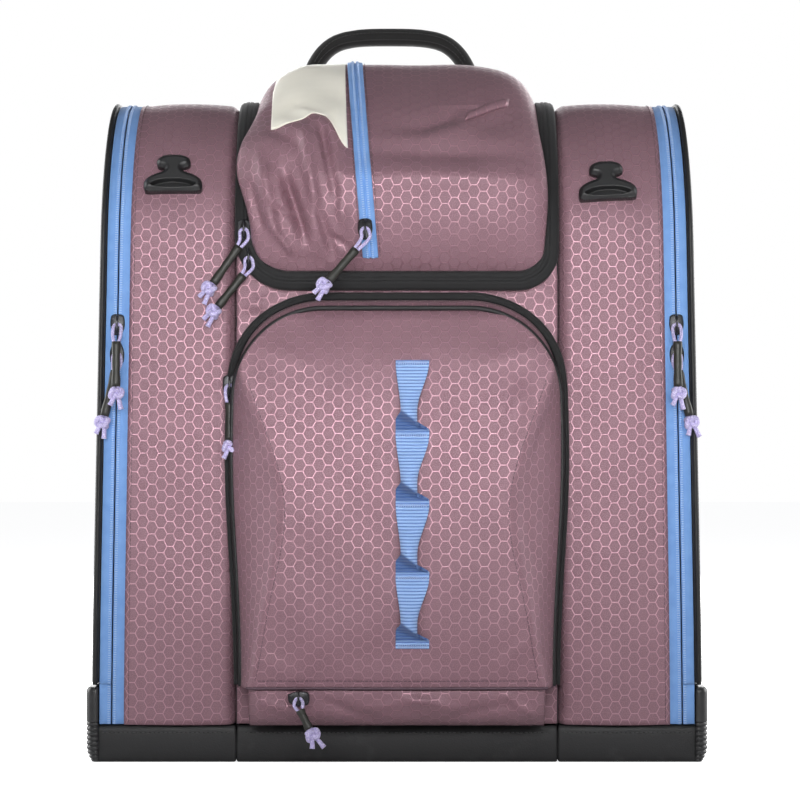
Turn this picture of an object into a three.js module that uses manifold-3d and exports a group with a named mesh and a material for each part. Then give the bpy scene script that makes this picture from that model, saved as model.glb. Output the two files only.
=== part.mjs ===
// Boot and skate backpack: two side compartments with zipped side doors, a main compartment under a domed
// lid, and a deep front pocket. Millimetres, +Z up. X is the width, the front faces -Y, and the origin is the
// middle of the flat underside.
import * as THREE from 'three';
import Module from 'manifold-3d';
import { mergeVertices } from 'three/addons/utils/BufferGeometryUtils.js';

const wasm = await Module();
wasm.setup();

// ---- driving dimensions ----
const GAP = 0.3;
const WALL = 3;
const TAPE = 2.5;
const BASE_TOP = 28;
const BODY_TOP = 506;
const HALF_DEPTH = 150;
const BASE_HALF_DEPTH = 142;
const BELLY_Z = 95;
const FRONT_RADIUS = 112;
const BACK_RADIUS = 60;
const MAIN_HALF = 122;
const DIVIDER = 3;
const ZIP_INNER = 207;
const ZIP_SPLIT = 216.5;
const ZIP_OUTER = 226;
const DOOR_OUTER = 232;
const BUMPER_OUTER = 236;
const BUMPER_TOP = 57;
const DOOR_HINGE_Z = 30;
const DOOR_BOTTOM = 60;
const LEAN = 0.019;
const LID_ZIP_BOTTOM = 359;
const LID_TAPE = 6;
const LID_CORNER = { left: 40, right: 30 };
const LID_HINGE_Y = 105;
const POCKET_HALF = 120;
const POCKET_TOP = 344;
const POCKET_BOTTOM = 60;
const POCKET_CORNER = 66;
const POCKET_BACK = 153.3;
const POCKET_TAPE = 7;
const PAD_BACK = 164;
const UPPER_Z = 332;
const LOWER_Z = 310;
const HANDLE = { x: -6, half: 71, y: 153, foot: 452, shoulder: 548, top: 584 };

const FRONT_ARC_Z = BODY_TOP - FRONT_RADIUS;
const FRONT_ARC_Y = FRONT_RADIUS - HALF_DEPTH;
const BACK_ARC_Z = BODY_TOP - BACK_RADIUS;
const BACK_ARC_Y = HALF_DEPTH - BACK_RADIUS;
const SKIN_BOTTOM = BASE_TOP + GAP;

// ---- materials ----
const LOOKS = {
  ripstop: { color: 0xa7808d, roughness: 0.5, metalness: 0 },
  tarpaulin: { color: 0x333333, roughness: 0.55, metalness: 0 },
  lining: { color: 0x55565a, roughness: 0.8, metalness: 0 },
  blueTape: { color: 0x6c8fc6, roughness: 0.6, metalness: 0 },
  blackTape: { color: 0x242424, roughness: 0.6, metalness: 0 },
  blackWebbing: { color: 0x3f4241, roughness: 0.8, metalness: 0 },
  blueWebbing: { color: 0x7f9bd0, roughness: 0.75, metalness: 0 },
  moulded: { color: 0x1c1c1c, roughness: 0.45, metalness: 0 },
  reflective: { color: 0xd3cfc3, roughness: 0.35, metalness: 0 },
  cord: { color: 0xc8c3e1, roughness: 0.8, metalness: 0 },
  sliderMetal: { color: 0x26262a, roughness: 0.4, metalness: 0.6 },
  mesh: { color: 0x2a2b2d, roughness: 0.9, metalness: 0 },
  board: { color: 0x3a3a3a, roughness: 0.7, metalness: 0 },
};
const materials = Object.fromEntries(
  Object.entries(LOOKS).map(([name, look]) => [name, new THREE.MeshStandardMaterial(look)]),
);

const bag = new THREE.Group();

// ---- solids and booleans ----
function solidOf(geometry) {
  const bare = geometry.clone();
  bare.deleteAttribute('normal');
  bare.deleteAttribute('uv');
  const merged = mergeVertices(bare, 1e-3);
  return new wasm.Manifold(
    new wasm.Mesh({
      numProp: 3,
      vertProperties: merged.attributes.position.array,
      triVerts: new Uint32Array(merged.index.array),
    }),
  );
}

function geometryOf(solid) {
  const mesh = solid.getMesh();
  const geometry = new THREE.BufferGeometry();
  geometry.setAttribute('position', new THREE.BufferAttribute(mesh.vertProperties, 3));
  geometry.setIndex(new THREE.BufferAttribute(mesh.triVerts, 1));
  geometry.computeVertexNormals();
  return geometry;
}

const join = (first, ...rest) => geometryOf(rest.reduce((all, g) => all.add(solidOf(g)), solidOf(first)));
const cut = (first, ...rest) => geometryOf(rest.reduce((all, g) => all.subtract(solidOf(g)), solidOf(first)));
const common = (first, second) => geometryOf(solidOf(first).intersect(solidOf(second)));

function addPiece(name, geometry, look, parent = bag) {
  const mesh = new THREE.Mesh(geometry, materials[look]);
  mesh.name = name;
  parent.add(mesh);
  return mesh;
}

function block(x, y, z) {
  const geometry = new THREE.BoxGeometry(x[1] - x[0], y[1] - y[0], z[1] - z[0]);
  return geometry.translate((x[0] + x[1]) / 2, (y[0] + y[1]) / 2, (z[0] + z[1]) / 2);
}

const shapeOf = (points) => new THREE.Shape(points.map(([u, v]) => new THREE.Vector2(u, v)));

// Maps an extrusion of a (y, z) outline so that it runs along X from x0.
function alongX(points, x0, x1) {
  const geometry = new THREE.ExtrudeGeometry(shapeOf(points), { depth: x1 - x0, bevelEnabled: false });
  const turn = new THREE.Matrix4().set(0, 0, 1, x0, 1, 0, 0, 0, 0, 1, 0, 0, 0, 0, 0, 1);
  return geometry.applyMatrix4(turn);
}

// Maps an extrusion of an (x, z) outline so that it runs from yFront back to yBack.
function alongY(points, yFront, yBack, bevel = 0, bevelSize = bevel) {
  const geometry = new THREE.ExtrudeGeometry(shapeOf(points), {
    depth: yBack - yFront - 2 * bevel,
    bevelEnabled: bevel > 0,
    bevelThickness: bevel,
    bevelSize,
    bevelOffset: -bevelSize,
    bevelSegments: 3,
  });
  return geometry.rotateX(Math.PI / 2).translate(0, yBack - bevel, 0);
}

// Moves every vertex with a function of its place.
function bend(geometry, map) {
  const position = geometry.attributes.position;
  const point = new THREE.Vector3();
  for (let i = 0; i < position.count; i += 1) {
    map(point.fromBufferAttribute(position, i));
    position.setXYZ(i, point.x, point.y, point.z);
  }
  geometry.computeVertexNormals();
  return geometry;
}

// ---- open outlines ----
function arc(cy, cz, radius, from, to, steps) {
  return Array.from({ length: steps + 1 }, (_, i) => {
    const angle = from + ((to - from) * i) / steps;
    return [cy + radius * Math.cos(angle), cz + radius * Math.sin(angle)];
  });
}

function offsetLine(points, distance) {
  return points.map((point, i) => {
    const before = points[Math.max(i - 1, 0)];
    const after = points[Math.min(i + 1, points.length - 1)];
    const length = Math.hypot(after[0] - before[0], after[1] - before[1]);
    const normal = [(after[1] - before[1]) / length, -(after[0] - before[0]) / length];
    return [point[0] + distance * normal[0], point[1] + distance * normal[1]];
  });
}

function subLine(points, from, to) {
  const out = [];
  let run = 0;
  for (let i = 1; i < points.length; i += 1) {
    const [a, b] = [points[i - 1], points[i]];
    const length = Math.hypot(b[0] - a[0], b[1] - a[1]);
    const at = (s) => a.map((value, k) => value + ((b[k] - value) * (s - run)) / length);
    if (from >= run && from < run + length) out.push(at(from));
    if (run + length > from && run + length < to) out.push(b);
    if (to > run && to <= run + length) out.push(at(to));
    run += length;
  }
  return out;
}

function lineLength(points) {
  return points.slice(1).reduce((sum, p, i) => sum + Math.hypot(p[0] - points[i][0], p[1] - points[i][1]), 0);
}

// A strip of even thickness that lies under a line: from the line to `depth` on its inner side.
const stripUnder = (line, depth, outer = 0) => {
  const inner = offsetLine(line, depth).reverse();
  return [...offsetLine(line, outer), ...inner];
};

// The bag's side profile, from the front bottom over the top to the back bottom, as (y, z).
const bodyLine = [
  [-BASE_HALF_DEPTH - 1, SKIN_BOTTOM],
  [-HALF_DEPTH + 2, (SKIN_BOTTOM + BELLY_Z) / 2],
  [-HALF_DEPTH, BELLY_Z],
  ...arc(FRONT_ARC_Y, FRONT_ARC_Z, FRONT_RADIUS, Math.PI, Math.PI / 2, 12),
  ...arc(BACK_ARC_Y, BACK_ARC_Z, BACK_RADIUS, Math.PI / 2, 0, 8),
  [HALF_DEPTH, BELLY_Z],
  [HALF_DEPTH - 2, (SKIN_BOTTOM + BELLY_Z) / 2],
  [BASE_HALF_DEPTH + 1, SKIN_BOTTOM],
];
const BODY_LENGTH = lineLength(bodyLine);
const LOWER_FRONT = lineLength(bodyLine.slice(0, 3));
const frontRun = (z) => LOWER_FRONT + z - BELLY_Z;
const topRun = (y) => frontRun(FRONT_ARC_Z) + lineLength(bodyLine.slice(3, 16)) + y - FRONT_ARC_Y;

// Places a flat (x, run) plate with its depth along Z on the side profile.
function wrapOnBody(geometry) {
  return bend(geometry, (point) => {
    const here = THREE.MathUtils.clamp(point.y, 0, BODY_LENGTH);
    const [y, z] = pointOn(bodyLine, here);
    const [ny, nz] = normalOn(bodyLine, here);
    point.set(point.x, y + ny * point.z, z + nz * point.z);
  });
}

function pointOn(line, run) {
  let left = run;
  for (let i = 1; i < line.length; i += 1) {
    const [a, b] = [line[i - 1], line[i]];
    const length = Math.hypot(b[0] - a[0], b[1] - a[1]);
    if (left <= length || i === line.length - 1) {
      return [a[0] + ((b[0] - a[0]) * left) / length, a[1] + ((b[1] - a[1]) * left) / length];
    }
    left -= length;
  }
  return line[line.length - 1];
}

function normalOn(line, run) {
  const a = pointOn(line, Math.max(run - 0.5, 0));
  const b = pointOn(line, run + 0.5);
  const length = Math.hypot(b[0] - a[0], b[1] - a[1]);
  return [-(b[1] - a[1]) / length, (b[0] - a[0]) / length];
}

// ---- side compartments ----
// The sides lean in a little towards the top, more the farther out they are.
function lean(geometry) {
  return bend(geometry, (point) => {
    const outward = (Math.abs(point.x) - MAIN_HALF - DIVIDER) / (ZIP_OUTER - MAIN_HALF - DIVIDER);
    point.x -= Math.sign(point.x) * Math.max(outward, 0) * LEAN * Math.max(point.z - DOOR_HINGE_Z, 0);
  });
}

// Orders two distances from the middle as x limits on one side of the bag.
const onSide = (side, inner, outer) => (side > 0 ? [inner, outer] : [-outer, -inner]);

function sideSkin(side, inner, outer, thickness, from = 0, to = BODY_LENGTH) {
  const [x0, x1] = onSide(side, inner, outer);
  return lean(alongX(stripUnder(subLine(bodyLine, from, to), thickness), x0, x1));
}

function sideBase(side) {
  const [x0, x1] = onSide(side, MAIN_HALF + GAP / 2, DOOR_OUTER - WALL);
  const [i0, i1] = onSide(side, MAIN_HALF + GAP / 2 + WALL, DOOR_OUTER - 2 * WALL);
  const [s0, s1] = onSide(side, ZIP_OUTER + GAP, DOOR_OUTER - WALL);
  const tray = cut(
    block([x0, x1], [-BASE_HALF_DEPTH, BASE_HALF_DEPTH], [0, BASE_TOP]),
    block([i0, i1], [WALL - BASE_HALF_DEPTH, BASE_HALF_DEPTH - WALL], [WALL, BASE_TOP + 1]),
  );
  const postDepth = BASE_HALF_DEPTH - WALL;
  return join(tray, block([s0, s1], [-postDepth, postDepth], [BASE_TOP - 1, BUMPER_TOP - 1]));
}

function bumper(side, end) {
  const [x0, x1] = onSide(side, DOOR_OUTER - WALL + GAP, BUMPER_OUTER);
  const y = end > 0 ? [118, BASE_HALF_DEPTH + 4] : [-BASE_HALF_DEPTH - 4, -118];
  const outline = [
    [y[0] + 3, 0],
    [y[1] - 3, 0],
    [y[1], 3],
    [y[1], BUMPER_TOP - 6],
    [y[1] - 4, BUMPER_TOP],
    [y[0] + 4, BUMPER_TOP],
    [y[0], BUMPER_TOP - 6],
    [y[0], 3],
  ];
  return alongX(outline, x0, x1);
}

function sideDoor(side) {
  const [x0, x1] = onSide(side, ZIP_OUTER + GAP, DOOR_OUTER);
  const low = frontRun(DOOR_BOTTOM);
  const outline = subLine(bodyLine, low, BODY_LENGTH - low);
  return lean(alongX(outline, x0, x1));
}

// The half of the side zip that stays put, with the two closed ends of the zip below the door.
function fixedZipHalf(side) {
  const end = frontRun(DOOR_BOTTOM) - GAP;
  const tape = sideSkin(side, ZIP_INNER + GAP, ZIP_SPLIT - GAP / 2, TAPE);
  const frontEnd = sideSkin(side, ZIP_SPLIT - 2, ZIP_OUTER, TAPE, 0, end);
  const backEnd = sideSkin(side, ZIP_SPLIT - 2, ZIP_OUTER, TAPE, BODY_LENGTH - end, BODY_LENGTH);
  return join(tape, frontEnd, backEnd);
}

function sideCompartment(side, label) {
  const gussetInner = MAIN_HALF + DIVIDER + GAP;
  const doorRun = frontRun(DOOR_BOTTOM);
  const [d0, d1] = onSide(side, MAIN_HALF, MAIN_HALF + DIVIDER);
  addPiece(`${label}_base`, sideBase(side), 'tarpaulin');
  addPiece(`${label}_front_bumper`, bumper(side, -1), 'moulded');
  addPiece(`${label}_back_bumper`, bumper(side, 1), 'moulded');
  addPiece(`${label}_divider`, alongX(bodyLine, d0, d1), 'lining');
  addPiece(`${label}_gusset`, sideSkin(side, gussetInner, ZIP_INNER, WALL), 'ripstop');
  addPiece(`${label}_zip_inner_half`, fixedZipHalf(side), 'blueTape');
  addPiece(
    `${label}_zip_door_half`,
    sideSkin(side, ZIP_SPLIT + GAP / 2, ZIP_OUTER, TAPE, doorRun, BODY_LENGTH - doorRun),
    'blueTape',
  );
  addPiece(`${label}_door`, sideDoor(side), 'tarpaulin');
}

// ---- main compartment ----
// The opening's outline on the front, as (x, run), with one large and one small lower corner.
function openingLine(inset, endRun) {
  const half = MAIN_HALF - GAP - inset;
  const bottom = frontRun(LID_ZIP_BOTTOM + inset);
  const left = LID_CORNER.left - inset;
  const right = LID_CORNER.right - inset;
  const runs = levelsBetween(frontRun(LID_ZIP_BOTTOM + LID_CORNER.left), endRun);
  return [
    ...[...runs].reverse().map((run) => [-half, run]),
    ...arc(left - half, bottom + left, left, Math.PI, 1.5 * Math.PI, 6),
    ...arc(half - right, bottom + right, right, 1.5 * Math.PI, 2 * Math.PI, 5),
    ...runs.map((run) => [half, run]),
  ];
}

// The runs between two limits at which the side profile turns, with the limits themselves.
function levelsBetween(from, to) {
  const turns = bodyLine.map((_, i) => lineLength(bodyLine.slice(0, i + 1)));
  return [from + 0.5, ...turns.filter((run) => run > from + 1 && run < to - 1), to];
}

function mainZipHalf(inset, endRun) {
  const outline = [...openingLine(inset, endRun), ...openingLine(inset + LID_TAPE - GAP, endRun).reverse()];
  const plate = new THREE.ExtrudeGeometry(shapeOf(outline), { depth: TAPE, bevelEnabled: false });
  return wrapOnBody(plate.translate(0, 0, -TAPE));
}

function mainFront() {
  const half = MAIN_HALF - GAP;
  const edge = openingLine(-GAP, frontRun(LID_ZIP_BOTTOM + LID_CORNER.left + 1));
  const [left, right] = [edge.findIndex(([x]) => x > 1 - half), edge.findLastIndex(([x]) => x < half - 1)];
  const outline = [
    [-half, 0],
    [half, 0],
    [half, edge[right][1]],
    ...edge.slice(left, right + 1).reverse(),
    [-half, edge[left][1]],
  ];
  const lower = frontRun(BELLY_Z);
  const middle = lower / 2;
  outline.splice(2, 0, [half, middle], [half, lower]);
  outline.push([-half, lower], [-half, middle]);
  const plate = new THREE.ExtrudeGeometry(shapeOf(outline), { depth: WALL, bevelEnabled: false });
  return wrapOnBody(plate.translate(0, 0, -WALL));
}

function mainBack() {
  const half = MAIN_HALF - GAP;
  const line = subLine(bodyLine, topRun(LID_HINGE_Y + 0.7), BODY_LENGTH);
  return alongX(stripUnder(line, WALL), -half, half);
}

function mainBase() {
  const half = MAIN_HALF - GAP / 2;
  return cut(
    block([-half, half], [-BASE_HALF_DEPTH, BASE_HALF_DEPTH], [0, BASE_TOP]),
    block([WALL - half, half - WALL], [WALL - BASE_HALF_DEPTH, BASE_HALF_DEPTH - WALL], [WALL, BASE_TOP + 1]),
  );
}

// ---- lid ----
// The dome's profile over the opening, from the front zip to the hinge at the back, as (y, z).
const lidLine = [
  [-150.6, 372],
  [-164, 380],
  [-172, 400],
  [-175, 425],
  [-174, 446],
  [-158, 470],
  [-130, 498],
  [-100, 521],
  [-72, 536],
  [-45, 541],
  [0, 539],
  [50, 529],
  [103, 509.5],
];
const LID_INSET = 2 * LID_TAPE + GAP;
const LID_REACH = MAIN_HALF - GAP - LID_INSET;

function lidSilhouette(inset) {
  const half = LID_REACH - inset;
  const bottom = LID_ZIP_BOTTOM + LID_INSET + inset;
  const left = LID_CORNER.left - LID_INSET;
  const right = LID_CORNER.right - LID_INSET;
  const top = 545 - inset;
  return [
    ...arc(left - half, bottom + left, left, Math.PI, 1.5 * Math.PI, 5),
    ...arc(half - right, bottom + right, right, 1.5 * Math.PI, 2 * Math.PI, 4),
    [half, 490],
    [half - 14, top],
    [14 - half, top],
    [-half, 490],
  ];
}

function lidShell() {
  const over = offsetLine(bodyLine.slice(2, 18), -0.6).filter(([y, z]) => z > 371 && y < 102);
  const seat = [...over.reverse(), [-150.6, 372]];
  const outerSide = [...lidLine, [103, 506.6], ...seat.slice(0, -1)];
  const innerLine = offsetLine(lidLine, WALL);
  const innerSide = [...innerLine.slice(0, -1), [100, 480], [0, 440], [-100, 400], [-120, 376]];
  const outer = common(alongX(outerSide, -130, 130), alongY(lidSilhouette(0), -200, 110));
  const inner = common(alongX(innerSide, -130, 130), alongY(lidSilhouette(WALL), -201, 120));
  return cut(outer, inner);
}

// A thin sheet that lies on the dome between two runs of its profile.
function onLid(from, to, x0, x1, thickness) {
  const line = subLine(lidLine, from, to);
  return alongX(stripUnder(line, -GAP - thickness, -GAP).reverse(), x0, x1);
}

const lidRun = (index) => lineLength(lidLine.slice(0, index + 1));

function goggleZip() {
  const strip = onLid(lidRun(1) + 6, lidRun(8), -39, -27, 2);
  return bend(strip, (point) => {
    point.x += 0.085 * (535 - point.z);
  });
}

function addLid() {
  addPiece('main_zip_body_half', mainZipHalf(0, topRun(LID_HINGE_Y - 1)), 'blackTape');
  addPiece('main_zip_lid_half', mainZipHalf(LID_TAPE, topRun(LID_HINGE_Y - 2)), 'blackTape');
  addPiece('lid_shell', lidShell(), 'ripstop');
  addPiece('lid_reflective_panel', onLid(lidRun(5) + 16, lidRun(8), -96, -41, 1), 'reflective');
  addPiece('goggle_zip', goggleZip(), 'blueTape');
  addPiece('lid_fold_tab', onLid(lidRun(6) + 6, lidRun(6) + 18, 52, 90, 2), 'ripstop');
}

// ---- front pocket ----
function archLine(inset, bottom = POCKET_BOTTOM) {
  const half = POCKET_HALF - inset;
  const top = POCKET_TOP - inset;
  const corner = POCKET_CORNER - inset;
  return [
    [half - 4, bottom],
    [half, top - corner],
    ...arc(half - corner, top - corner, corner, 0, Math.PI / 2, 6).slice(1),
    ...arc(corner - half, top - corner, corner, Math.PI / 2, Math.PI, 6).slice(0, -1),
    [-half, top - corner],
    [4 - half, bottom],
  ];
}

// How far the pocket stands out, as (y, z) from its foot to its top.
const pocketLine = [
  [-197, POCKET_BOTTOM],
  [-204, 120],
  [-206, 190],
  [-201, 260],
  [-186, 318],
  [-172, POCKET_TOP + 1],
];

function pocketSolid(inset) {
  const bulge = 26;
  const arch = alongY(archLine(inset, POCKET_BOTTOM - 40), inset - 210, POCKET_BACK * -1 + bulge, bulge);
  const line = offsetLine(pocketLine, inset);
  const side = [...line, [-POCKET_BACK + inset, POCKET_TOP + 1], [-POCKET_BACK + inset, POCKET_BOTTOM]];
  return common(arch, alongX(side, -140, 140));
}

function frontPocket() {
  const hollow = cut(pocketSolid(WALL), block([-130, 130], [-215, -150], [0, POCKET_BOTTOM + WALL]));
  const mouth = alongY(archLine(WALL + 4, POCKET_BOTTOM + WALL + 1), -POCKET_BACK - 12, -POCKET_BACK + 5);
  return cut(pocketSolid(0), hollow, mouth);
}

function pocketZipTape() {
  const outline = [...archLine(-POCKET_TAPE), ...archLine(-GAP).reverse()];
  return alongY(outline, -POCKET_BACK + GAP, -HALF_DEPTH - GAP);
}

function lowerFront() {
  const top = POCKET_BOTTOM - 0.6;
  const foot = SKIN_BOTTOM + GAP;
  const back = -HALF_DEPTH - GAP;
  const outer = [[back, foot], [-168, foot + 2], [-185, foot + 14], [-190, top], [back, top]];
  const hem = top - 3;
  const inner = [[back + 1, foot + 3], [-167, foot + 5], [-182, foot + 16], [-187, hem], [back + 1, hem]];
  return cut(alongX(outer, -112, 112), alongX(inner, -109, 109));
}

// Blue webbing tacked flat at five places, standing off the pocket between them.
function daisyChain() {
  const top = 304;
  const bottom = 94;
  const loops = 4;
  const line = [];
  for (let i = 0; i <= loops * 6; i += 1) {
    const z = bottom + ((top - bottom) * i) / (loops * 6);
    const lift = 5 * Math.abs(Math.sin((Math.PI * i) / 6)) + 0.5;
    line.push([pocketFrontAt(z) - lift, z]);
  }
  return alongX(stripUnder(line, -1.6, 0).reverse(), -2.5, 22.5);
}

function pocketFrontAt(z) {
  const i = pocketLine.findIndex(([, level]) => level >= z);
  const [a, b] = [pocketLine[i - 1], pocketLine[i]];
  return a[0] + ((b[0] - a[0]) * (z - a[1])) / (b[1] - a[1]);
}

// ---- moulded hooks on the side compartments ----
function hook() {
  const outline = [
    [-22, -10],
    [-19, -14],
    [-14, -16],
    [14, -16],
    [19, -14],
    [22, -10],
    [20, -3],
    [9, 1],
    [8, 4],
    [15, 7],
    [16, 12],
    [10, 15],
    [-10, 15],
    [-16, 12],
    [-15, 7],
    [-8, 4],
    [-9, 1],
    [-20, -3],
  ];
  return cut(alongY(outline, -8, 0, 1.2), block([-15, 15], [-10, 2], [-12, -6.5]));
}

function addHook(name, x, z, tilt) {
  const angle = Math.asin((z - FRONT_ARC_Z) / FRONT_RADIUS);
  const reach = FRONT_RADIUS + GAP;
  const holder = new THREE.Group();
  holder.position.set(x, FRONT_ARC_Y - reach * Math.cos(angle), FRONT_ARC_Z + reach * Math.sin(angle));
  holder.rotation.set(-angle, tilt, 0);
  bag.add(holder);
  addPiece(name, hook(), 'moulded', holder);
}

// ---- sliders and pulls ----
const SLIDER_REACH = 8;
const CORD = 1.3;
const CROSSING = 5;
const SLEEVE = 3.2;
const KNOT = 6;
const LEG = 3;

// A slider on a tape in the XZ plane that faces -Y and travels along Z, with an upright bridge over its
// middle. `plateTurn` turns the plate under the bridge on a tape that slants, and `bridgeShare` shortens the
// bridge.
function sliderSolid(plateTurn, bridgeShare) {
  const tip = [[-3, -SLIDER_REACH], [3, -SLIDER_REACH]];
  const plate = [...tip, [5.5, -2], [5, SLIDER_REACH], [-5, SLIDER_REACH], [-5.5, -2]];
  const outside = [[-3, -7], [-8.9, -6], [-8.9, 6], [-3, 7]];
  const inside = [[-3.3, -5.2], [-6.7, -4.6], [-6.7, 4.6], [-3.3, 5.2]];
  const arch = cut(alongX(outside.reverse(), -1, 1), alongX(inside.reverse(), -2, 2));
  const bridge = arch.scale(1, 1, bridgeShare);
  return join(alongY(plate, -3.3, -GAP).rotateY(plateTurn), bridge);
}

function roundSection(radius, sides) {
  const points = Array.from({ length: sides }, (_, i) => {
    const angle = (2 * Math.PI * i) / sides;
    return [radius * Math.cos(angle), radius * Math.sin(angle)];
  });
  return shapeOf(points);
}

// A loop of cord through a slider's bridge, a sleeve that grips both legs, and the knot below the sleeve.
// `neck` and `sleeve` are the heights of the bare loop and of the sleeve. `drape` is how far forward the
// sleeve's two ends stand, and `swing` how far the sleeve's lower end lies to one side. The loop runs
// straight down past the slider before it swings aside.
function pullSolid({ neck = 13, sleeve = 34, drape = [0.5, 2.5], swing = 0 }) {
  const end = neck + sleeve;
  const bendDepth = Math.min(SLIDER_REACH, neck * 0.7);
  const place = (side, depth, lean) => {
    const forward = drape[0] * lean + (drape[1] - drape[0]) * Math.max((depth - neck) / sleeve, 0);
    const aside = (swing * Math.max(depth - bendDepth, 0)) / (end - bendDepth);
    return new THREE.Vector3(side + aside, -CROSSING - forward, -depth);
  };
  const path = new THREE.CatmullRomCurve3([
    place(-1.6, neck + 2, 1),
    place(-LEG, bendDepth, 0.6),
    new THREE.Vector3(-LEG, -CROSSING, -2.5),
    new THREE.Vector3(0, -CROSSING, 0.2),
    new THREE.Vector3(LEG, -CROSSING, -2.5),
    place(LEG, bendDepth, 0.6),
    place(1.6, neck + 2, 1),
  ]);
  const loop = new THREE.ExtrudeGeometry(roundSection(CORD, 6), { steps: 20, extrudePath: path });
  const top = place(0, neck, 1);
  const foot = place(0, end, 1);
  const along = foot.clone().sub(top);
  const barrel = new THREE.CylinderGeometry(SLEEVE, SLEEVE, along.length(), 8);
  const turn = new THREE.Quaternion().setFromUnitVectors(
    new THREE.Vector3(0, -1, 0),
    along.clone().normalize(),
  );
  const middle = top.clone().add(foot).multiplyScalar(0.5);
  barrel.applyQuaternion(turn).translate(middle.x, middle.y, middle.z);
  const below = foot.clone().addScaledVector(along.normalize(), KNOT - 1);
  const knot = new THREE.SphereGeometry(KNOT, 8, 6).translate(below.x, below.y, below.z);
  return join(barrel, loop, knot);
}

// Puts a slider and its hanging pull on a tape whose face is at `at`; `turn` turns the slider on the tape.
function addZipPull(name, at, { turn = 0, plateTurn = 0, bridgeShare = 1, tip = 0, pull = {} } = {}) {
  const holder = new THREE.Group();
  holder.position.set(...at);
  holder.rotation.set(-tip, 0, 0);
  bag.add(holder);
  const slider = addPiece(`${name}_slider`, sliderSolid(plateTurn, bridgeShare), 'sliderMetal', holder);
  slider.rotation.set(0, turn, 0);
  addPiece(`${name}_pull`, pullSolid(pull), 'cord', holder);
}

function leaningX(x, z) {
  const outward = (Math.abs(x) - MAIN_HALF - DIVIDER) / (ZIP_OUTER - MAIN_HALF - DIVIDER);
  return x - Math.sign(x) * outward * LEAN * (z - DOOR_HINGE_Z);
}

function addPulls() {
  for (const [side, label] of [[-1, 'left'], [1, 'right']]) {
    const split = side * ZIP_SPLIT;
    addZipPull(`${label}_upper`, [leaningX(split, UPPER_Z), -HALF_DEPTH, UPPER_Z], {
      pull: { drape: [8.5, 11.5] },
    });
    addZipPull(`${label}_lower`, [leaningX(split, LOWER_Z), -HALF_DEPTH, LOWER_Z], {
      turn: Math.PI,
      pull: { swing: side * 9 },
    });
  }
  const split = MAIN_HALF - GAP - LID_TAPE;
  const corner = LID_CORNER.left - LID_TAPE;
  const cornerCentre = [corner - split, LID_ZIP_BOTTOM + LID_CORNER.left];
  const angle = THREE.MathUtils.degToRad(210);
  addZipPull('main_left', [-split, -HALF_DEPTH, FRONT_ARC_Z + 10], { pull: { sleeve: 28, swing: -23 } });
  addZipPull(
    'main_right',
    [cornerCentre[0] + corner * Math.cos(angle), -HALF_DEPTH, cornerCentre[1] + corner * Math.sin(angle)],
    { plateTurn: Math.PI - angle, pull: { sleeve: 24, swing: -23 } },
  );
  addZipPull('goggle', [-23.8, -175.1, 403], { tip: -0.12, pull: { neck: 16, sleeve: 24, swing: -27 } });
  addZipPull('pocket', [-POCKET_HALF - 6.2, -POCKET_BACK, 286], { pull: { sleeve: 28 } });
  addZipPull('lower_pocket', [-73, -191, 53], {
    plateTurn: Math.PI / 2,
    bridgeShare: 0.75,
    pull: { neck: 8, sleeve: 14, swing: 8 },
  });
}

// ---- handle, back pad and shoulder straps ----
class HandlePath extends THREE.Curve {
  constructor() {
    super();
    const { x, half, y, foot, shoulder, top } = HANDLE;
    const points = [
      [x - half, foot],
      [x - half, shoulder - 40],
      [x - half + 2, shoulder],
      [x - half + 24, top - 6],
      [x, top],
      [x + half - 24, top - 6],
      [x + half - 2, shoulder],
      [x + half, shoulder - 40],
      [x + half, foot],
    ];
    this.inner = new THREE.CatmullRomCurve3(points.map(([px, pz]) => new THREE.Vector3(px, y, pz)));
  }

  getPoint(t, target) {
    return this.inner.getPoint(t, target);
  }
}

class PathPart extends THREE.Curve {
  constructor(path, from, to) {
    super();
    this.path = path;
    this.from = from;
    this.to = to;
  }

  getPoint(t, target) {
    return this.path.getPoint(this.from + (this.to - this.from) * t, target);
  }
}

function addHandle() {
  const path = new HandlePath();
  const strap = shapeOf([[-1.6, -7], [1.6, -7], [1.6, 7], [-1.6, 7]]);
  const sleeve = roundSection(9.5, 12);
  const slot = [[-2, -7.5], [-2, 7.5], [2, 7.5], [2, -7.5]];
  sleeve.holes.push(new THREE.Path(slot.map(([u, v]) => new THREE.Vector2(u, v))));
  const webbing = new THREE.ExtrudeGeometry(strap, { steps: 32, extrudePath: path });
  const grip = new THREE.ExtrudeGeometry(sleeve, { steps: 16, extrudePath: new PathPart(path, 0.29, 0.71) });
  addPiece('handle_webbing', webbing, 'blackWebbing');
  addPiece('handle_grip', grip, 'blackWebbing');
}

function backPad() {
  const outline = [
    ...arc(-110, 92, 30, Math.PI, 1.5 * Math.PI, 3),
    ...arc(110, 92, 30, 1.5 * Math.PI, 2 * Math.PI, 3),
    ...arc(110, 416, 30, 0, Math.PI / 2, 3),
    ...arc(-110, 416, 30, Math.PI / 2, Math.PI, 3),
  ];
  return alongY(outline, HALF_DEPTH + GAP, PAD_BACK, 3);
}

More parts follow.
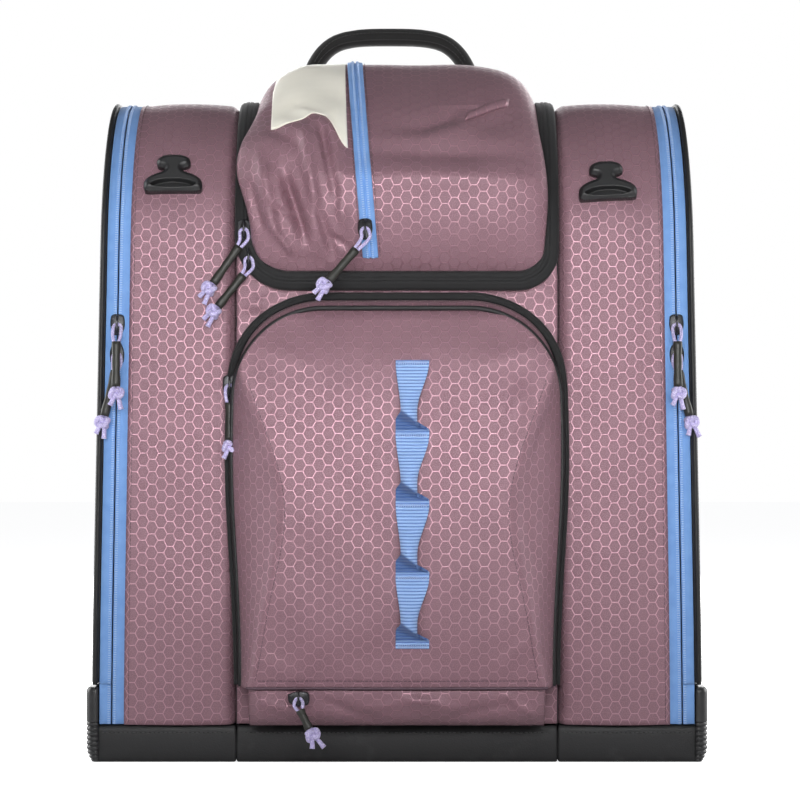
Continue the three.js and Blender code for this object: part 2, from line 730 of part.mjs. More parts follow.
function addShoulderStrap(side, label) {
  const centre = [[42, 438], [52, 390], [68, 320], [78, 262], [80, 236]];
  const width = [29, 31, 30, 25, 21];
  const inner = centre.map(([x, z], i) => [side * (x - width[i]), z]);
  const outer = centre.map(([x, z], i) => [side * (x + width[i]), z]);
  const outline = side > 0 ? [...inner, ...outer.reverse()] : [...outer, ...inner.reverse()];
  const front = PAD_BACK + GAP;
  const [b0, b1] = onSide(side, 64, 96);
  const [s0, s1] = onSide(side, 67, 93);
  addPiece(`${label}_shoulder_strap`, alongY(outline, front, front + 14, 2), 'mesh');
  addPiece(
    `${label}_ladder_lock`,
    cut(
      block([b0, b1], [front, front + 6], [208, 235]),
      block([s0, s1], [front - 1, front + 7], [211, 216]),
      block([s0, s1], [front - 1, front + 7], [222, 229]),
    ),
    'moulded',
  );
  const tail = [[67.5, 207], [92.5, 207], [137, 70], [112, 70]].map(([x, z]) => [side * x, z]);
  const webbing = side > 0 ? tail.reverse() : tail;
  addPiece(`${label}_strap_webbing`, alongY(webbing, front, front + 2), 'blackWebbing');
}

// ---- assembly ----
sideCompartment(-1, 'left');
sideCompartment(1, 'right');
addPiece('centre_base', mainBase(), 'tarpaulin');
addPiece('floor_board', block([-116, 116], [-136, 136], [WALL + GAP, 2 * WALL]), 'board');
addPiece('main_front_panel', mainFront(), 'ripstop');
addPiece('main_back_panel', mainBack(), 'tarpaulin');
addLid();
addPiece('front_pocket', frontPocket(), 'ripstop');
addPiece('pocket_zip_tape', pocketZipTape(), 'blackTape');
addPiece('lower_front_panel', lowerFront(), 'ripstop');
addPiece('daisy_chain', daisyChain(), 'blueWebbing');
addHook('left_hook', leaningX(-175.5, 443), 443, 0);
addHook('right_hook', leaningX(160.5, 438), 438, 0.08);
addHandle();
addPiece('back_pad', backPad(), 'mesh');
addShoulderStrap(-1, 'left');
addShoulderStrap(1, 'right');
addPulls();

export default bag;
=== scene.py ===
"""Boot and skate backpack: the looks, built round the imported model.

Lengths in this script are millimetres in the CAD frame until a mesh is made, and metres from there on.
X is the width, the front faces -Y and Z is up.
"""

import math

import bmesh
import bpy
import numpy as np
from mathutils import Matrix, Vector

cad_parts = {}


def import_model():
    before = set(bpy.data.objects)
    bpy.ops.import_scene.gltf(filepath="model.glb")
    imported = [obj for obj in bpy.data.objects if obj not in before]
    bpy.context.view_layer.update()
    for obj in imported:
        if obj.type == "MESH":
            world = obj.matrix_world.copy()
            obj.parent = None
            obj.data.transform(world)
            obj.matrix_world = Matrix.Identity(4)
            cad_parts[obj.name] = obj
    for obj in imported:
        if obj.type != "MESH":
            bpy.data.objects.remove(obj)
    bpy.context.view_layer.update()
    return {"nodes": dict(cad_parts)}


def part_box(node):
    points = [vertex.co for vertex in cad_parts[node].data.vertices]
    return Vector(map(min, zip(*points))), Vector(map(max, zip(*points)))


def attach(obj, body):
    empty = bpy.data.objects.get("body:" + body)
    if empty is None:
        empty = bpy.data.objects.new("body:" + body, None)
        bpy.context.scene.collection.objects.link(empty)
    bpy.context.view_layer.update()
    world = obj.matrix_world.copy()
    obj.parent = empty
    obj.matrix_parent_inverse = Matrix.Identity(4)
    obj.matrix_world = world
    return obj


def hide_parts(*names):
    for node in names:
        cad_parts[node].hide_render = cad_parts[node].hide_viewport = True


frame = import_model()
MM = 0.001
SIDES = ((-1, "left"), (1, "right"))
FORWARD = np.array([0.0, -1.0, 0.0])
BACKWARD = -FORWARD
UPWARD = np.array([0.0, 0.0, 1.0])


def limits(node):
    """The lowest and highest corner of a CAD node, in millimetres."""
    low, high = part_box(node)
    return np.array(low) / MM, np.array(high) / MM


# ---- driving dimensions, worked out from the frame ----
DIVIDER_LOW, DIVIDER_HIGH = limits("left_divider")
FRONT_Y = DIVIDER_LOW[1]
BACK_Y = DIVIDER_HIGH[1]
TOP_Z = DIVIDER_HIGH[2]
SKIN_FOOT = DIVIDER_LOW[2]
BASE_FRONT = limits("centre_base")[0][1]
BASE_TOP = limits("centre_base")[1][2]
MAIN_HALF = limits("centre_base")[1][0]
FRONT_RADIUS = 112.0
BACK_RADIUS = 60.0
BELLY_Z = 95.0
ZIP_INNER = 207.0
ZIP_SPLIT = 216.5
ZIP_OUTER = 226.0
DOOR_OUTER = 232.0
LEAN = 0.019
LEAN_FROM = 125.0
LEAN_FOOT = 30.0
DOOR_FOOT = 60.0
LID_ZIP_FOOT = 359.0
LID_ZIP_WIDTH = 12.0
LID_CORNERS = (40.0, 30.0)
LID_HINGE_Y = 103.0
CLOTH = 1.2


# ---- small maths ----
def xyz(*parts):
    """Points from their coordinates, each a number or an array."""
    return np.stack(np.broadcast_arrays(*(np.asarray(part, float) for part in parts)), -1)


def smooth(low, high, value):
    """0 below `low`, 1 above `high` and a smooth rise between them."""
    t = np.clip((np.asarray(value, float) - low) / (high - low), 0.0, 1.0)
    return t * t * (3 - 2 * t)


def bell(value, centre, width):
    """A smooth bump of height 1."""
    return np.exp(-(((np.asarray(value, float) - centre) / width) ** 2))


def relief(u, v, scale, seed):
    """Smooth uneven relief between about -1 and 1, the same on every run."""
    rng = np.random.default_rng(seed)
    total = 0.0
    for _ in range(8):
        angle = rng.uniform(0, 2 * math.pi)
        wave = rng.uniform(0.6, 1.7) * 2 * math.pi / scale
        phase = rng.uniform(0, 2 * math.pi)
        total = total + np.sin(wave * (u * math.cos(angle) + v * math.sin(angle)) + phase)
    return total / 4


def crease(u, v, start, end, width):
    """A bump along the line from `start` to `end`, fading out at both ends."""
    a, b = np.array(start, float), np.array(end, float)
    length = np.linalg.norm(b - a)
    along = (b - a) / length
    run = (u - a[0]) * along[0] + (v - a[1]) * along[1]
    off = (u - a[0]) * -along[1] + (v - a[1]) * along[0]
    fade = smooth(-0.15, 0.3, run / length) * (1 - smooth(0.7, 1.15, run / length))
    return fade * np.exp(-((off / width) ** 2))


def creases(u, v, folds):
    """The sum of several creases, each given as start, end, width and height."""
    return sum(height * crease(u, v, start, end, width) for start, end, width, height in folds)


def run_along(path):
    """The distance run at each point of a path."""
    return np.concatenate([[0], np.cumsum(np.linalg.norm(np.diff(path, axis=0), axis=1))])


def along_line(path, runs, at):
    """The points of a path at given runs."""
    return np.stack([np.interp(at, runs, path[:, k]) for k in range(path.shape[1])], 1)


class Line:
    """A smooth path through (y, z) points, measured by the distance run along it."""

    def __init__(self, points):
        self.points = np.array(points, float)
        self.runs = run_along(self.points)
        self.length = self.runs[-1]
        tangent = np.gradient(self.points, self.runs, axis=0)
        tangent /= np.linalg.norm(tangent, axis=1)[:, None]
        self.normals = np.stack([-tangent[:, 1], tangent[:, 0]], 1)

    def at(self, run):
        return tuple(np.interp(run, self.runs, self.points[:, k]) for k in (0, 1))

    def normal(self, run):
        n = np.stack([np.interp(run, self.runs, self.normals[:, k]) for k in (0, 1)])
        return tuple(n / np.linalg.norm(n, axis=0))

    def run_at_z(self, z):
        """The run at which the rising first stretch reaches height z."""
        top = int(np.argmax(self.points[:, 1])) + 1
        return np.interp(z, self.points[:top, 1], self.runs[:top])


def arc(cy, cz, radius, start, end):
    angles = np.linspace(start, end, 41)
    return [(cy + radius * math.cos(a), cz + radius * math.sin(a)) for a in angles]


def rounded(points, passes=3):
    """Corner cutting: turns a polyline into a smooth curve with the same ends."""
    line = np.array(points, float)
    for _ in range(passes):
        a = line[:-1] * 0.75 + line[1:] * 0.25
        b = line[:-1] * 0.25 + line[1:] * 0.75
        inner = np.stack([a, b], 1).reshape(-1, line.shape[1])
        line = np.concatenate([line[:1], inner, line[-1:]])
    return line


def body_line():
    """The bag's side profile, from the front foot over the top to the back foot."""
    mid = (SKIN_FOOT + BELLY_Z) / 2
    foot, knee = (BASE_FRONT - 1, SKIN_FOOT), (FRONT_Y + 3.5, mid)
    front = rounded([foot, knee, (FRONT_Y, BELLY_Z + 15), (FRONT_Y, BELLY_Z + 60)])
    back = [(-y, z) for y, z in front[::-1]]
    over = arc(FRONT_Y + FRONT_RADIUS, TOP_Z - FRONT_RADIUS, FRONT_RADIUS, math.pi, math.pi / 2)
    down = arc(BACK_Y - BACK_RADIUS, TOP_Z - BACK_RADIUS, BACK_RADIUS, math.pi / 2, 0)
    return Line([*front, *over, *down, *back])


BODY = body_line()


def front_run(z):
    return BODY.run_at_z(z)


def top_run(y):
    """The run at which the flat top reaches y."""
    return front_run(TOP_Z) + y - (FRONT_Y + FRONT_RADIUS)


def body_up(run):
    """The outward direction of the side profile."""
    return xyz(0.0, *BODY.normal(run))


def leaned(x, z):
    """The sides lean in towards the top, more the farther out they are."""
    out = np.maximum(np.abs(x) - LEAN_FROM, 0) / (ZIP_OUTER - LEAN_FROM)
    return x - np.sign(x) * out * LEAN * np.maximum(z - LEAN_FOOT, 0)


def on_body(x, run, lift=0.0):
    """Points at width x and run along the side profile, lifted off it."""
    y, z = BODY.at(run)
    ny, nz = BODY.normal(run)
    height = z + nz * lift
    return xyz(leaned(x, height), y + ny * lift, height)


# ---- meshes ----
def add_layer(obj, name, uv):
    """A UV layer from one (u, v) pair for each vertex."""
    layer = obj.data.uv_layers.new(name=name)
    loops = np.zeros(len(obj.data.loops), np.int64)
    obj.data.loops.foreach_get("vertex_index", loops)
    layer.data.foreach_set("uv", (np.asarray(uv, float) * MM)[loops].ravel())


def new_object(name, verts, faces, uv=None, smooth_faces=True):
    mesh = bpy.data.meshes.new(name)
    mesh.from_pydata((np.asarray(verts, float) * MM).tolist(), [], faces)
    mesh.validate()
    mesh.polygons.foreach_set("use_smooth", [smooth_faces] * len(mesh.polygons))
    mesh.update()
    obj = bpy.data.objects.new(name, mesh)
    if uv is not None:
        add_layer(obj, "metres", uv)
    bpy.context.scene.collection.objects.link(obj)
    return obj


def grid_normals(points):
    normal = np.cross(np.gradient(points, axis=1), np.gradient(points, axis=0))
    return normal / np.maximum(np.linalg.norm(normal, axis=2, keepdims=True), 1e-9)


def both_faces(uv):
    """The same (u, v) pairs for a sheet's outer and inner face."""
    return np.tile(np.asarray(uv, float).reshape(-1, 2), (2, 1))


def sheet_mesh(name, points, uv=None, thickness=CLOTH, flip=False, inner=None):
    """A closed thin sheet: the grid of points is its outer face, and `thickness` goes inwards.
    Outwards is across x along, with rows along and columns across; `flip` turns it round.
    `inner` gives the points of the inner face instead."""
    rows, cols = points.shape[:2]
    if inner is None:
        inner = points - grid_normals(points) * (-thickness if flip else thickness)
    count = rows * cols
    index = np.arange(count).reshape(rows, cols)
    outer = np.stack([index[:-1, :-1], index[:-1, 1:], index[1:, 1:], index[1:, :-1]], -1).reshape(-1, 4)
    ring = np.concatenate([index[0, :-1], index[:-1, -1], index[-1, :0:-1], index[:0:-1, 0]])
    after = np.roll(ring, -1)
    edge = np.stack([after, ring, ring + count, after + count], -1)
    faces = np.concatenate([outer, outer[:, ::-1] + count, edge])
    verts = np.concatenate([points.reshape(-1, 3), inner.reshape(-1, 3)])
    uv = None if uv is None else both_faces(uv)
    return new_object(name, verts, (faces[:, ::-1] if flip else faces).tolist(), uv)


def loft_parts(loops, offset):
    """Faces that join closed loops one after the other and cap both ends."""
    index = np.arange(loops.shape[0] * loops.shape[1]).reshape(loops.shape[:2]) + offset
    side = np.roll(index, -1, axis=1)
    walls = np.stack([index[:-1], side[:-1], side[1:], index[1:]], -1).reshape(-1, 4)
    return walls.tolist() + [index[0, ::-1].tolist(), index[-1].tolist()]


def loft_mesh(name, *parts):
    """One object of several lofted bodies, each an array of closed loops."""
    verts, faces = np.zeros((0, 3)), []
    for loops in parts:
        loops = np.asarray(loops, float)
        faces += loft_parts(loops, len(verts))
        verts = np.concatenate([verts, loops.reshape(-1, 3)])
    return outward(new_object(name, verts, faces))


def outward(obj):
    """Turns every face of a closed mesh outwards."""
    work = bmesh.new()
    work.from_mesh(obj.data)
    bmesh.ops.recalc_face_normals(work, faces=work.faces)
    work.to_mesh(obj.data)
    work.free()
    return obj


def frames_along(path, up):
    """Tangent, side and up directions along a path of points."""
    tangent = np.gradient(path, axis=0)
    tangent /= np.linalg.norm(tangent, axis=1)[:, None]
    side = np.cross(tangent, np.broadcast_to(np.asarray(up, float), path.shape))
    side /= np.maximum(np.linalg.norm(side, axis=1), 1e-9)[:, None]
    return tangent, side, np.cross(side, tangent)


def sweep(path, section, up, scale=1.0):
    """Loops of a closed (side, up) section swept along a path."""
    path = np.asarray(path, float)
    _, side, high = frames_along(path, up)
    spread = section[None] * np.broadcast_to(scale, len(path))[:, None, None]
    return path[:, None] + spread[..., :1] * side[:, None] + spread[..., 1:] * high[:, None]


def circle(radius, sides=12):
    angles = np.arange(sides) * 2 * math.pi / sides
    return np.stack([radius * np.cos(angles), radius * np.sin(angles)], 1)


def rounded_box(width, height, corner, steps=4):
    """A closed rounded rectangle round the middle."""
    out = []
    for k, (sx, sy) in enumerate([(1, 1), (-1, 1), (-1, -1), (1, -1)]):
        for a in np.linspace(0, math.pi / 2, steps + 1):
            angle = a + k * math.pi / 2
            x = sx * (width / 2 - corner) + corner * math.cos(angle)
            out.append((x, sy * (height / 2 - corner) + corner * math.sin(angle)))
    return np.array(out)


def spline(points, count):
    """A Catmull-Rom curve through the points, evenly spaced."""
    p = np.array(points, float)
    p = np.concatenate([2 * p[:1] - p[1:2], p, 2 * p[-1:] - p[-2:-1]])
    t = np.linspace(0, 1, 16, endpoint=False)[:, None]
    out = []
    for a, b, c, d in zip(p, p[1:], p[2:], p[3:]):
        square = (2 * a - 5 * b + 4 * c - d) * t**2
        cube = (3 * b - a - 3 * c + d) * t**3
        out.append(0.5 * (2 * b + (c - a) * t + square + cube))
    dense = np.concatenate([*out, p[-2:-1]])
    runs = run_along(dense)
    return along_line(dense, runs, np.linspace(0, runs[-1], count))


def bars(name, centres, directions, size):
    """Many small rounded bars in one mesh: thread stitches and zip teeth.
    `size` is the length along, the width across and the height."""
    foot = [(-1, -1, -1), (1, -1, -1), (1, 1, -1), (-1, 1, -1)]
    top = [(-0.6, -0.6, 1), (0.6, -0.6, 1), (0.6, 0.6, 1), (-0.6, 0.6, 1)]
    local = np.array(foot + top) * np.array(size) / 2
    verts = centres[:, None] + np.einsum("vk,kci->cvi", local, np.stack(directions))
    box = [(0, 3, 2, 1), (4, 5, 6, 7), (0, 1, 5, 4), (1, 2, 6, 5), (2, 3, 7, 6), (3, 0, 4, 7)]
    faces = (np.array(box)[None] + 8 * np.arange(len(centres))[:, None, None]).reshape(-1, 4)
    return outward(new_object(name, verts.reshape(-1, 3), faces.tolist(), smooth_faces=False))


def finished(obj, body, slot, *nodes, look=None):
    """Gives a piece its material, picked by `look` or else by `slot`, and its body, and hides the CAD nodes
    that it stands for.
    """
    obj.data.materials.clear()
    obj.data.materials.append(LOOKS[look or slot])
    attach(obj, body)
    if nodes:
        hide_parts(*nodes)
    return obj


def add_row(name, path, up, body, slot, look, pitch=3.2, size=(2.3, 0.7, 0.7), lift=0.2, start=None):
    """A row of stitches or teeth along a path; `up` is the outward direction, or one for each point."""
    runs = run_along(path)
    at = np.arange(pitch / 2 if start is None else start, runs[-1], pitch)
    centres = along_line(path, runs, at)
    up = up if np.ndim(up) == 1 else along_line(up, runs, at)
    directions = frames_along(centres, up)
    row = bars(name, centres + directions[2] * lift, directions, size)
    return finished(row, body, slot, look=look)


# ---- materials ----
def rgb(r, g, b):
    """A colour given as 0-255 screen values, in linear light."""
    shares = [c / 255 for c in (r, g, b)]
    return (*(c / 12.92 if c <= 0.04045 else ((c + 0.055) / 1.055) ** 2.4 for c in shares), 1.0)


class Look:
    """A node material being put together round one Principled shader."""

    def __init__(self, name):
        self.material = bpy.data.materials.new(name)
        self.material.use_nodes = True
        self.tree = self.material.node_tree
        self.tree.nodes.clear()
        self.shader = self.node("BsdfPrincipled")
        output = self.node("OutputMaterial")
        self.tree.links.new(self.shader.outputs[0], output.inputs["Surface"])

    def put(self, socket, value):
        if isinstance(value, bpy.types.NodeSocket):
            self.tree.links.new(value, socket)
        elif value is not None:
            socket.default_value = value

    def node(self, kind, *inputs, named=None, **settings):
        """A node with its first inputs filled in order, and others by name."""
        made = self.tree.nodes.new(f"ShaderNode{kind}")
        for key, value in settings.items():
            setattr(made, key, value)
        for socket, value in zip(made.inputs, inputs):
            self.put(socket, value)
        for key, value in (named or {}).items():
            self.put(made.inputs[key], value)
        return made

    def set(self, **values):
        for key, value in values.items():
            self.put(self.shader.inputs[key.replace("_", " ")], value)
        return self

    def math(self, operation, *values):
        return self.node("Math", *values, operation=operation).outputs[0]

    def vector(self, operation, *values):
        made = self.node("VectorMath", *values, operation=operation)
        return made.outputs["Value" if operation == "LENGTH" else "Vector"]

    def mix(self, share, a, b):
        return self.node("Mix", data_type="RGBA", named={"Factor": share, 6: a, 7: b}).outputs[2]

    def between(self, share, a, b):
        """A number that goes from a to b with the share."""
        return self.math("MULTIPLY_ADD", share, b - a, a)

    def noise(self, vector, scale, detail):
        return self.node("TexNoise", named={"Vector": vector, "Scale": scale, "Detail": detail}).outputs[0]

    def cells(self, vector, scale):
        return self.node("TexVoronoi", feature="F1", named={"Vector": vector, "Scale": scale}).outputs[0]

    def band(self, value, low, high):
        """0 where the value is below `low` and 1 above `high`."""
        return self.node("MapRange", value, low, high, 0.0, 1.0, interpolation_type="SMOOTHSTEP").outputs[0]

    def place(self):
        return self.node("TexCoord").outputs["Object"]

    def layer(self, name="metres"):
        return self.node("UVMap", uv_map=name).outputs[0]

    def parts(self, vector):
        return self.node("SeparateXYZ", vector).outputs

    def bump(self, height, strength, distance, under=None):
        named = {"Strength": strength, "Distance": distance, "Height": height, "Normal": under}
        return self.node("Bump", named=named).outputs[0]

    def weave(self, place, pitch, axes=(0, 1)):
        """A plain weave: threads of two directions that take turns on top, as a height from 0 to 1."""
        parts = self.parts(place)
        waves = [self.math("SINE", self.math("MULTIPLY", parts[k], 2 * math.pi / pitch)) for k in axes]
        return self.math("MULTIPLY_ADD", self.math("MULTIPLY", waves[0], waves[1]), 0.5, 0.5)


HEXAGON_COLUMN = 0.0072
HEXAGON_ROW = 0.0094
HEXAGON_LINE = 0.0006


def hexagon_lines(look, place):
    """1 on the lines of a flat-topped honeycomb and 0 inside its cells."""
    radius = HEXAGON_COLUMN / 1.5
    apothem = radius * math.sqrt(3) / 2
    scaled = look.vector("MULTIPLY", place, (1.0, 2 * apothem / HEXAGON_ROW, 0.0))
    high = (1.5 * radius, apothem, 1.0)
    low = tuple(-c for c in high)
    first = look.vector("WRAP", scaled, high, low)
    moved = look.vector("ADD", scaled, (1.5 * radius, apothem, 0.0))
    second = look.vector("WRAP", moved, high, low)
    nearer = look.math("LESS_THAN", look.vector("LENGTH", first), look.vector("LENGTH", second))
    pick = look.node("Mix", data_type="VECTOR", named={"Factor": nearer, 4: second, 5: first})
    x, y, _ = look.parts(look.vector("ABSOLUTE", pick.outputs[1]))
    slant = look.math("ADD", look.math("MULTIPLY", x, math.sqrt(3) / 2), look.math("MULTIPLY", y, 0.5))
    reach = look.math("MAXIMUM", y, slant)
    return look.band(reach, apothem - HEXAGON_LINE * 0.75, apothem - HEXAGON_LINE * 0.35)


def ripstop(name):
    """Coated nylon with a woven honeycomb that glints where it faces the light."""
    look = Look(name)
    place = look.layer()
    lines = hexagon_lines(look, place)
    plain = rgb(130, 97, 107)
    deep = (*(c * 0.86 for c in plain[:3]), 1.0)
    base = look.mix(look.band(look.noise(place, 45.0, 3.0), 0.25, 0.75), deep, plain)
    grain = look.band(look.noise(place, 1400.0, 1.0), 0.35, 0.75)
    fleck = look.mix(grain, base, rgb(150, 115, 126))
    woven = look.bump(look.weave(place, 0.0011), 0.35, 0.00025)
    look.set(
        Base_Color=look.mix(lines, fleck, rgb(176, 137, 148)),
        Metallic=look.between(lines, 0.12, 0.85),
        Roughness=look.between(lines, 0.5, 0.36),
        Specular_IOR_Level=0.4,
        Sheen_Weight=0.05,
        Normal=look.bump(lines, 0.5, 0.0003, woven),
    )
    return look.material


def patchy(name, dark, pale, cloud, edges=None, grain=None, spans=None, **plain):
    """Two shades in soft patches. `cloud` is the patches' noise scale and detail, and `edges` sharpens them.
    `grain` is a fine relief: noise scale, detail, strength and depth. `spans` are values that follow the
    patches."""
    look = Look(name)
    place = look.place()
    share = look.noise(place, *cloud)
    if edges:
        share = look.band(share, *edges)
    look.set(Base_Color=look.mix(share, rgb(*dark), rgb(*pale)), **plain)
    look.set(**{key: look.between(share, *ends) for key, ends in spans.items()})
    if grain:
        look.set(Normal=look.bump(look.noise(place, *grain[:2]), *grain[2:]))
    return look.material


def tarpaulin(name, *shade):
    """Thick coated cloth with a fine leathery grain and scuffs."""
    pale = [c + 16 for c in shade]
    spans = {"Roughness": (0.5, 0.68)}
    return patchy(name, shade, pale, (60.0, 5.0), (0.55, 0.8), (900.0, 3.0, 0.35, 0.0004), spans,
                  Specular_IOR_Level=0.35)


def moulded(name, *shade):
    """Injection-moulded nylon with a fine spark-eroded texture."""
    pale = [c + 12 for c in shade]
    spans = {"Roughness": (0.32, 0.5)}
    return patchy(name, shade, pale, (120.0, 3.0), None, (1800.0, 2.0, 0.18, 0.0003), spans,
                  Specular_IOR_Level=0.5)


def thread(name, *shade):
    """Bonded sewing thread."""
    dark = [c * 0.8 for c in shade]
    spans = {"Roughness": (0.45, 0.65)}
    return patchy(name, dark, shade, (2500.0, 1.0), spans=spans, Specular_IOR_Level=0.4)


def woven(name, dark, pale, pitch, cloud, rough, strength, depth, specular, sheen):
    """Zip tape or webbing: a plain weave with a soft nap."""
    look = Look(name)
    place = look.place()
    height = look.weave(place, pitch, (0, 2))
    nap = look.noise(place, cloud, 3.0)
    look.set(
        Base_Color=look.mix(look.math("MULTIPLY", height, nap), rgb(*dark), rgb(*pale)),
        Roughness=look.between(nap, *rough),
        Specular_IOR_Level=specular,
        Sheen_Weight=sheen,
        Normal=look.bump(height, strength, depth),
    )
    return look.material


def tape(name, dark, pale):
    return woven(name, dark, pale, 0.0011, 130.0, (0.55, 0.72), 0.5, 0.0003, 0.3, 0.1)


def ribbed_webbing_painted_fold_shade(name, pitch=0.0024):
    """Webbing with strong cross ribs: pale tops and darker grooves, following the strap's own length. Where
    the strap turns under at a fold, a deep blue is mixed in as painted shade.
    """
    look = Look(name)
    place = look.layer()
    wave = look.math("SINE", look.math("MULTIPLY", look.parts(place)[1], 2 * math.pi / pitch))
    fuzz = look.noise(place, 900.0, 3.0)
    top = look.band(look.math("MULTIPLY_ADD", fuzz, 0.5, wave), -0.9, 0.4)
    # The "fold" layer marks where the strap turns under: there the colour goes to deep blue, painted shade.
    under = look.math("MULTIPLY", look.parts(look.layer("fold"))[0], 0.8)
    ribs = look.mix(top, rgb(79, 112, 178), rgb(158, 189, 233))
    look.set(
        Base_Color=look.mix(under, ribs, rgb(46, 78, 134)),
        Roughness=look.between(fuzz, 0.5, 0.75),
        Specular_IOR_Level=0.3,
        Sheen_Weight=0.1,
        Normal=look.bump(look.weave(place, 0.0011), 0.4, 0.0003),
    )
    return look.material


def cord_look(name):
    """Braided lavender accessory cord: crossing strands with paler tops."""
    look = Look(name)
    place = look.place()
    braid = look.cells(place, 900.0)
    look.set(
        Base_Color=look.mix(look.band(braid, 0.1, 0.6), rgb(222, 216, 240), rgb(176, 166, 212)),
        Roughness=look.between(look.noise(place, 220.0, 2.0), 0.6, 0.8),
        Specular_IOR_Level=0.3,
        Sheen_Weight=0.2,
        Normal=look.bump(braid, 0.6, 0.0004),
    )
    return look.material


def spacer_mesh(name):
    """Air mesh over foam: small open cells."""
    look = Look(name)
    hole = look.band(look.cells(look.place(), 330.0), 0.12, 0.4)
    look.set(
        Base_Color=look.mix(hole, rgb(14, 14, 15), rgb(38, 39, 41)),
        Roughness=look.between(hole, 0.95, 0.75),
        Specular_IOR_Level=0.2,
        Sheen_Weight=0.2,
        Normal=look.bump(hole, 0.8, 0.0006),
    )
    return look.material


def lining(name):
    """Plain woven polyester lining."""
    look = Look(name)
    place = look.place()
    cloud = look.noise(place, 40.0, 3.0)
    look.set(
        Base_Color=look.mix(cloud, rgb(78, 79, 84), rgb(94, 95, 100)),
        Roughness=look.between(cloud, 0.7, 0.85),
        Specular_IOR_Level=0.25,
        Normal=look.bump(look.weave(place, 0.0009, (1, 2)), 0.3, 0.0003),
    )
    return look.material


LOOKS = {
    "ripstop": ripstop("ripstop_cloth"),
    "tarpaulin": tarpaulin("tarpaulin_cloth", 36, 36, 37),
    "door": tarpaulin("door_cloth", 36, 36, 38),
    "lining": lining("lining_cloth"),
    "blue_tape": tape("blue_zip_tape", (104, 148, 210), (150, 190, 240)),
    "blue_teeth": thread("blue_zip_teeth", 176, 204, 244),
    "black_tape": tape("black_zip_tape", (24, 24, 25), (44, 44, 45)),
    "black_teeth": thread("black_zip_teeth", 58, 58, 58),
    "black_webbing": woven("black_webbing_weave", (34, 34, 34), (66, 66, 65), 0.0016, 900.0, (0.6, 0.85),
                           0.6, 0.0004, 0.25, 0.15),
    "blue_webbing": ribbed_webbing_painted_fold_shade("blue_webbing_ribs_painted_fold_shade"),
    "blue_thread": thread("blue_thread", 176, 196, 236),
    "moulded": moulded("moulded_nylon", 27, 27, 28),
    "bumper": moulded("bumper_nylon", 36, 36, 37),
    # Retro-reflective fabric: pale and smooth, with a faint painted glow that stands in for the light it
    # sends back.
    "reflective": patchy("reflective_fabric_painted_glow", (232, 228, 214), (240, 237, 226), (30.0, 3.0), None,
                         (1500.0, 2.0, 0.1, 0.0002),
                         {"Roughness": (0.34, 0.46), "Emission_Strength": (0.1, 0.16)},
                         Emission_Color=rgb(214, 210, 198), Specular_IOR_Level=0.5),
    "cord": cord_look("lavender_cord"),
    # Black-painted zinc with worn edges.
    "slider_metal": patchy("slider_metal", (30, 30, 33), (82, 82, 88), (700.0, 3.0), (0.58, 0.72),
                           (1600.0, 2.0, 0.1, 0.0002), {"Metallic": (0.3, 0.9), "Roughness": (0.36, 0.28)}),
    # Soft black heat-shrunk tube.
    "sleeve": patchy("pull_sleeve", (30, 30, 27), (52, 52, 46), (160.0, 3.0), None,
                     (1100.0, 2.0, 0.15, 0.0003), {"Roughness": (0.38, 0.55)}, Specular_IOR_Level=0.45),
    "mesh": spacer_mesh("spacer_mesh"),
    "board": tarpaulin("stiffener_board", 58, 58, 60),
    "thread": thread("dark_thread", 98, 74, 86),
    "black_thread": thread("black_thread", 70, 70, 70),
    "piping": tarpaulin("piping_cover", 30, 30, 31),
}


# ---- camera, light and floor ----
def placed(name, data, place):
    obj = bpy.data.objects.new(name, data)
    obj.location = place
    bpy.context.scene.collection.objects.link(obj)
    return obj


def add_camera():
    data = bpy.data.cameras.new("camera")
    data.lens = 142.7
    data.sensor_width = 36.0
    camera = placed("camera", data, (0.0023, -2.55, 0.275))
    camera.rotation_euler = (math.pi / 2, 0.0, 0.0)
    bpy.context.scene.camera = camera


def add_softbox(name, place, target, size, power, spread=180):
    data = bpy.data.lights.new(name, "AREA")
    data.shape = "RECTANGLE"
    data.size, data.size_y = size
    data.energy = power
    data.spread = math.radians(spread)
    lamp = placed(name, data, place)
    lamp.rotation_euler = (Vector(target) - Vector(place)).to_track_quat("-Z", "Y").to_euler()
    lamp.visible_camera = False


def add_world():
    """White behind the object, and a weaker even light from all round."""
    world = bpy.data.worlds.new("studio")
    bpy.context.scene.world = world
    world.use_nodes = True
    tree = world.node_tree
    tree.nodes.clear()
    path, light, seen, mix, output = (
        tree.nodes.new(f"ShaderNode{kind}")
        for kind in ("LightPath", "Background", "Background", "MixShader", "OutputWorld")
    )
    seen.inputs[0].default_value = (1.0, 1.0, 1.0, 1.0)
    light.inputs[0].default_value = (0.93, 0.95, 1.0, 1.0)
    light.inputs[1].default_value = 0.13
    tree.links.new(path.outputs["Is Camera Ray"], mix.inputs[0])
    tree.links.new(light.outputs[0], mix.inputs[1])
    tree.links.new(seen.outputs[0], mix.inputs[2])
    tree.links.new(mix.outputs[0], output.inputs["Surface"])


def add_floor(reach=6000.0):
    corners = [(-reach, -reach, 0), (reach, -reach, 0), (reach, reach, 0), (-reach, reach, 0)]
    floor = new_object("floor", corners, [(0, 1, 2, 3)])
    look = Look("floor_paper")
    cloud = look.noise(look.place(), 0.8, 2.0)
    seen = look.node("LightPath").outputs["Is Camera Ray"]
    look.set(
        Base_Color=look.mix(cloud, rgb(250, 250, 250), rgb(254, 254, 254)),
        Roughness=look.between(cloud, 0.85, 0.95),
        Emission_Color=(1.0, 1.0, 1.0, 1.0),
        Emission_Strength=look.math("MULTIPLY", seen, 0.85),
    )
    floor.data.materials.append(look.material)


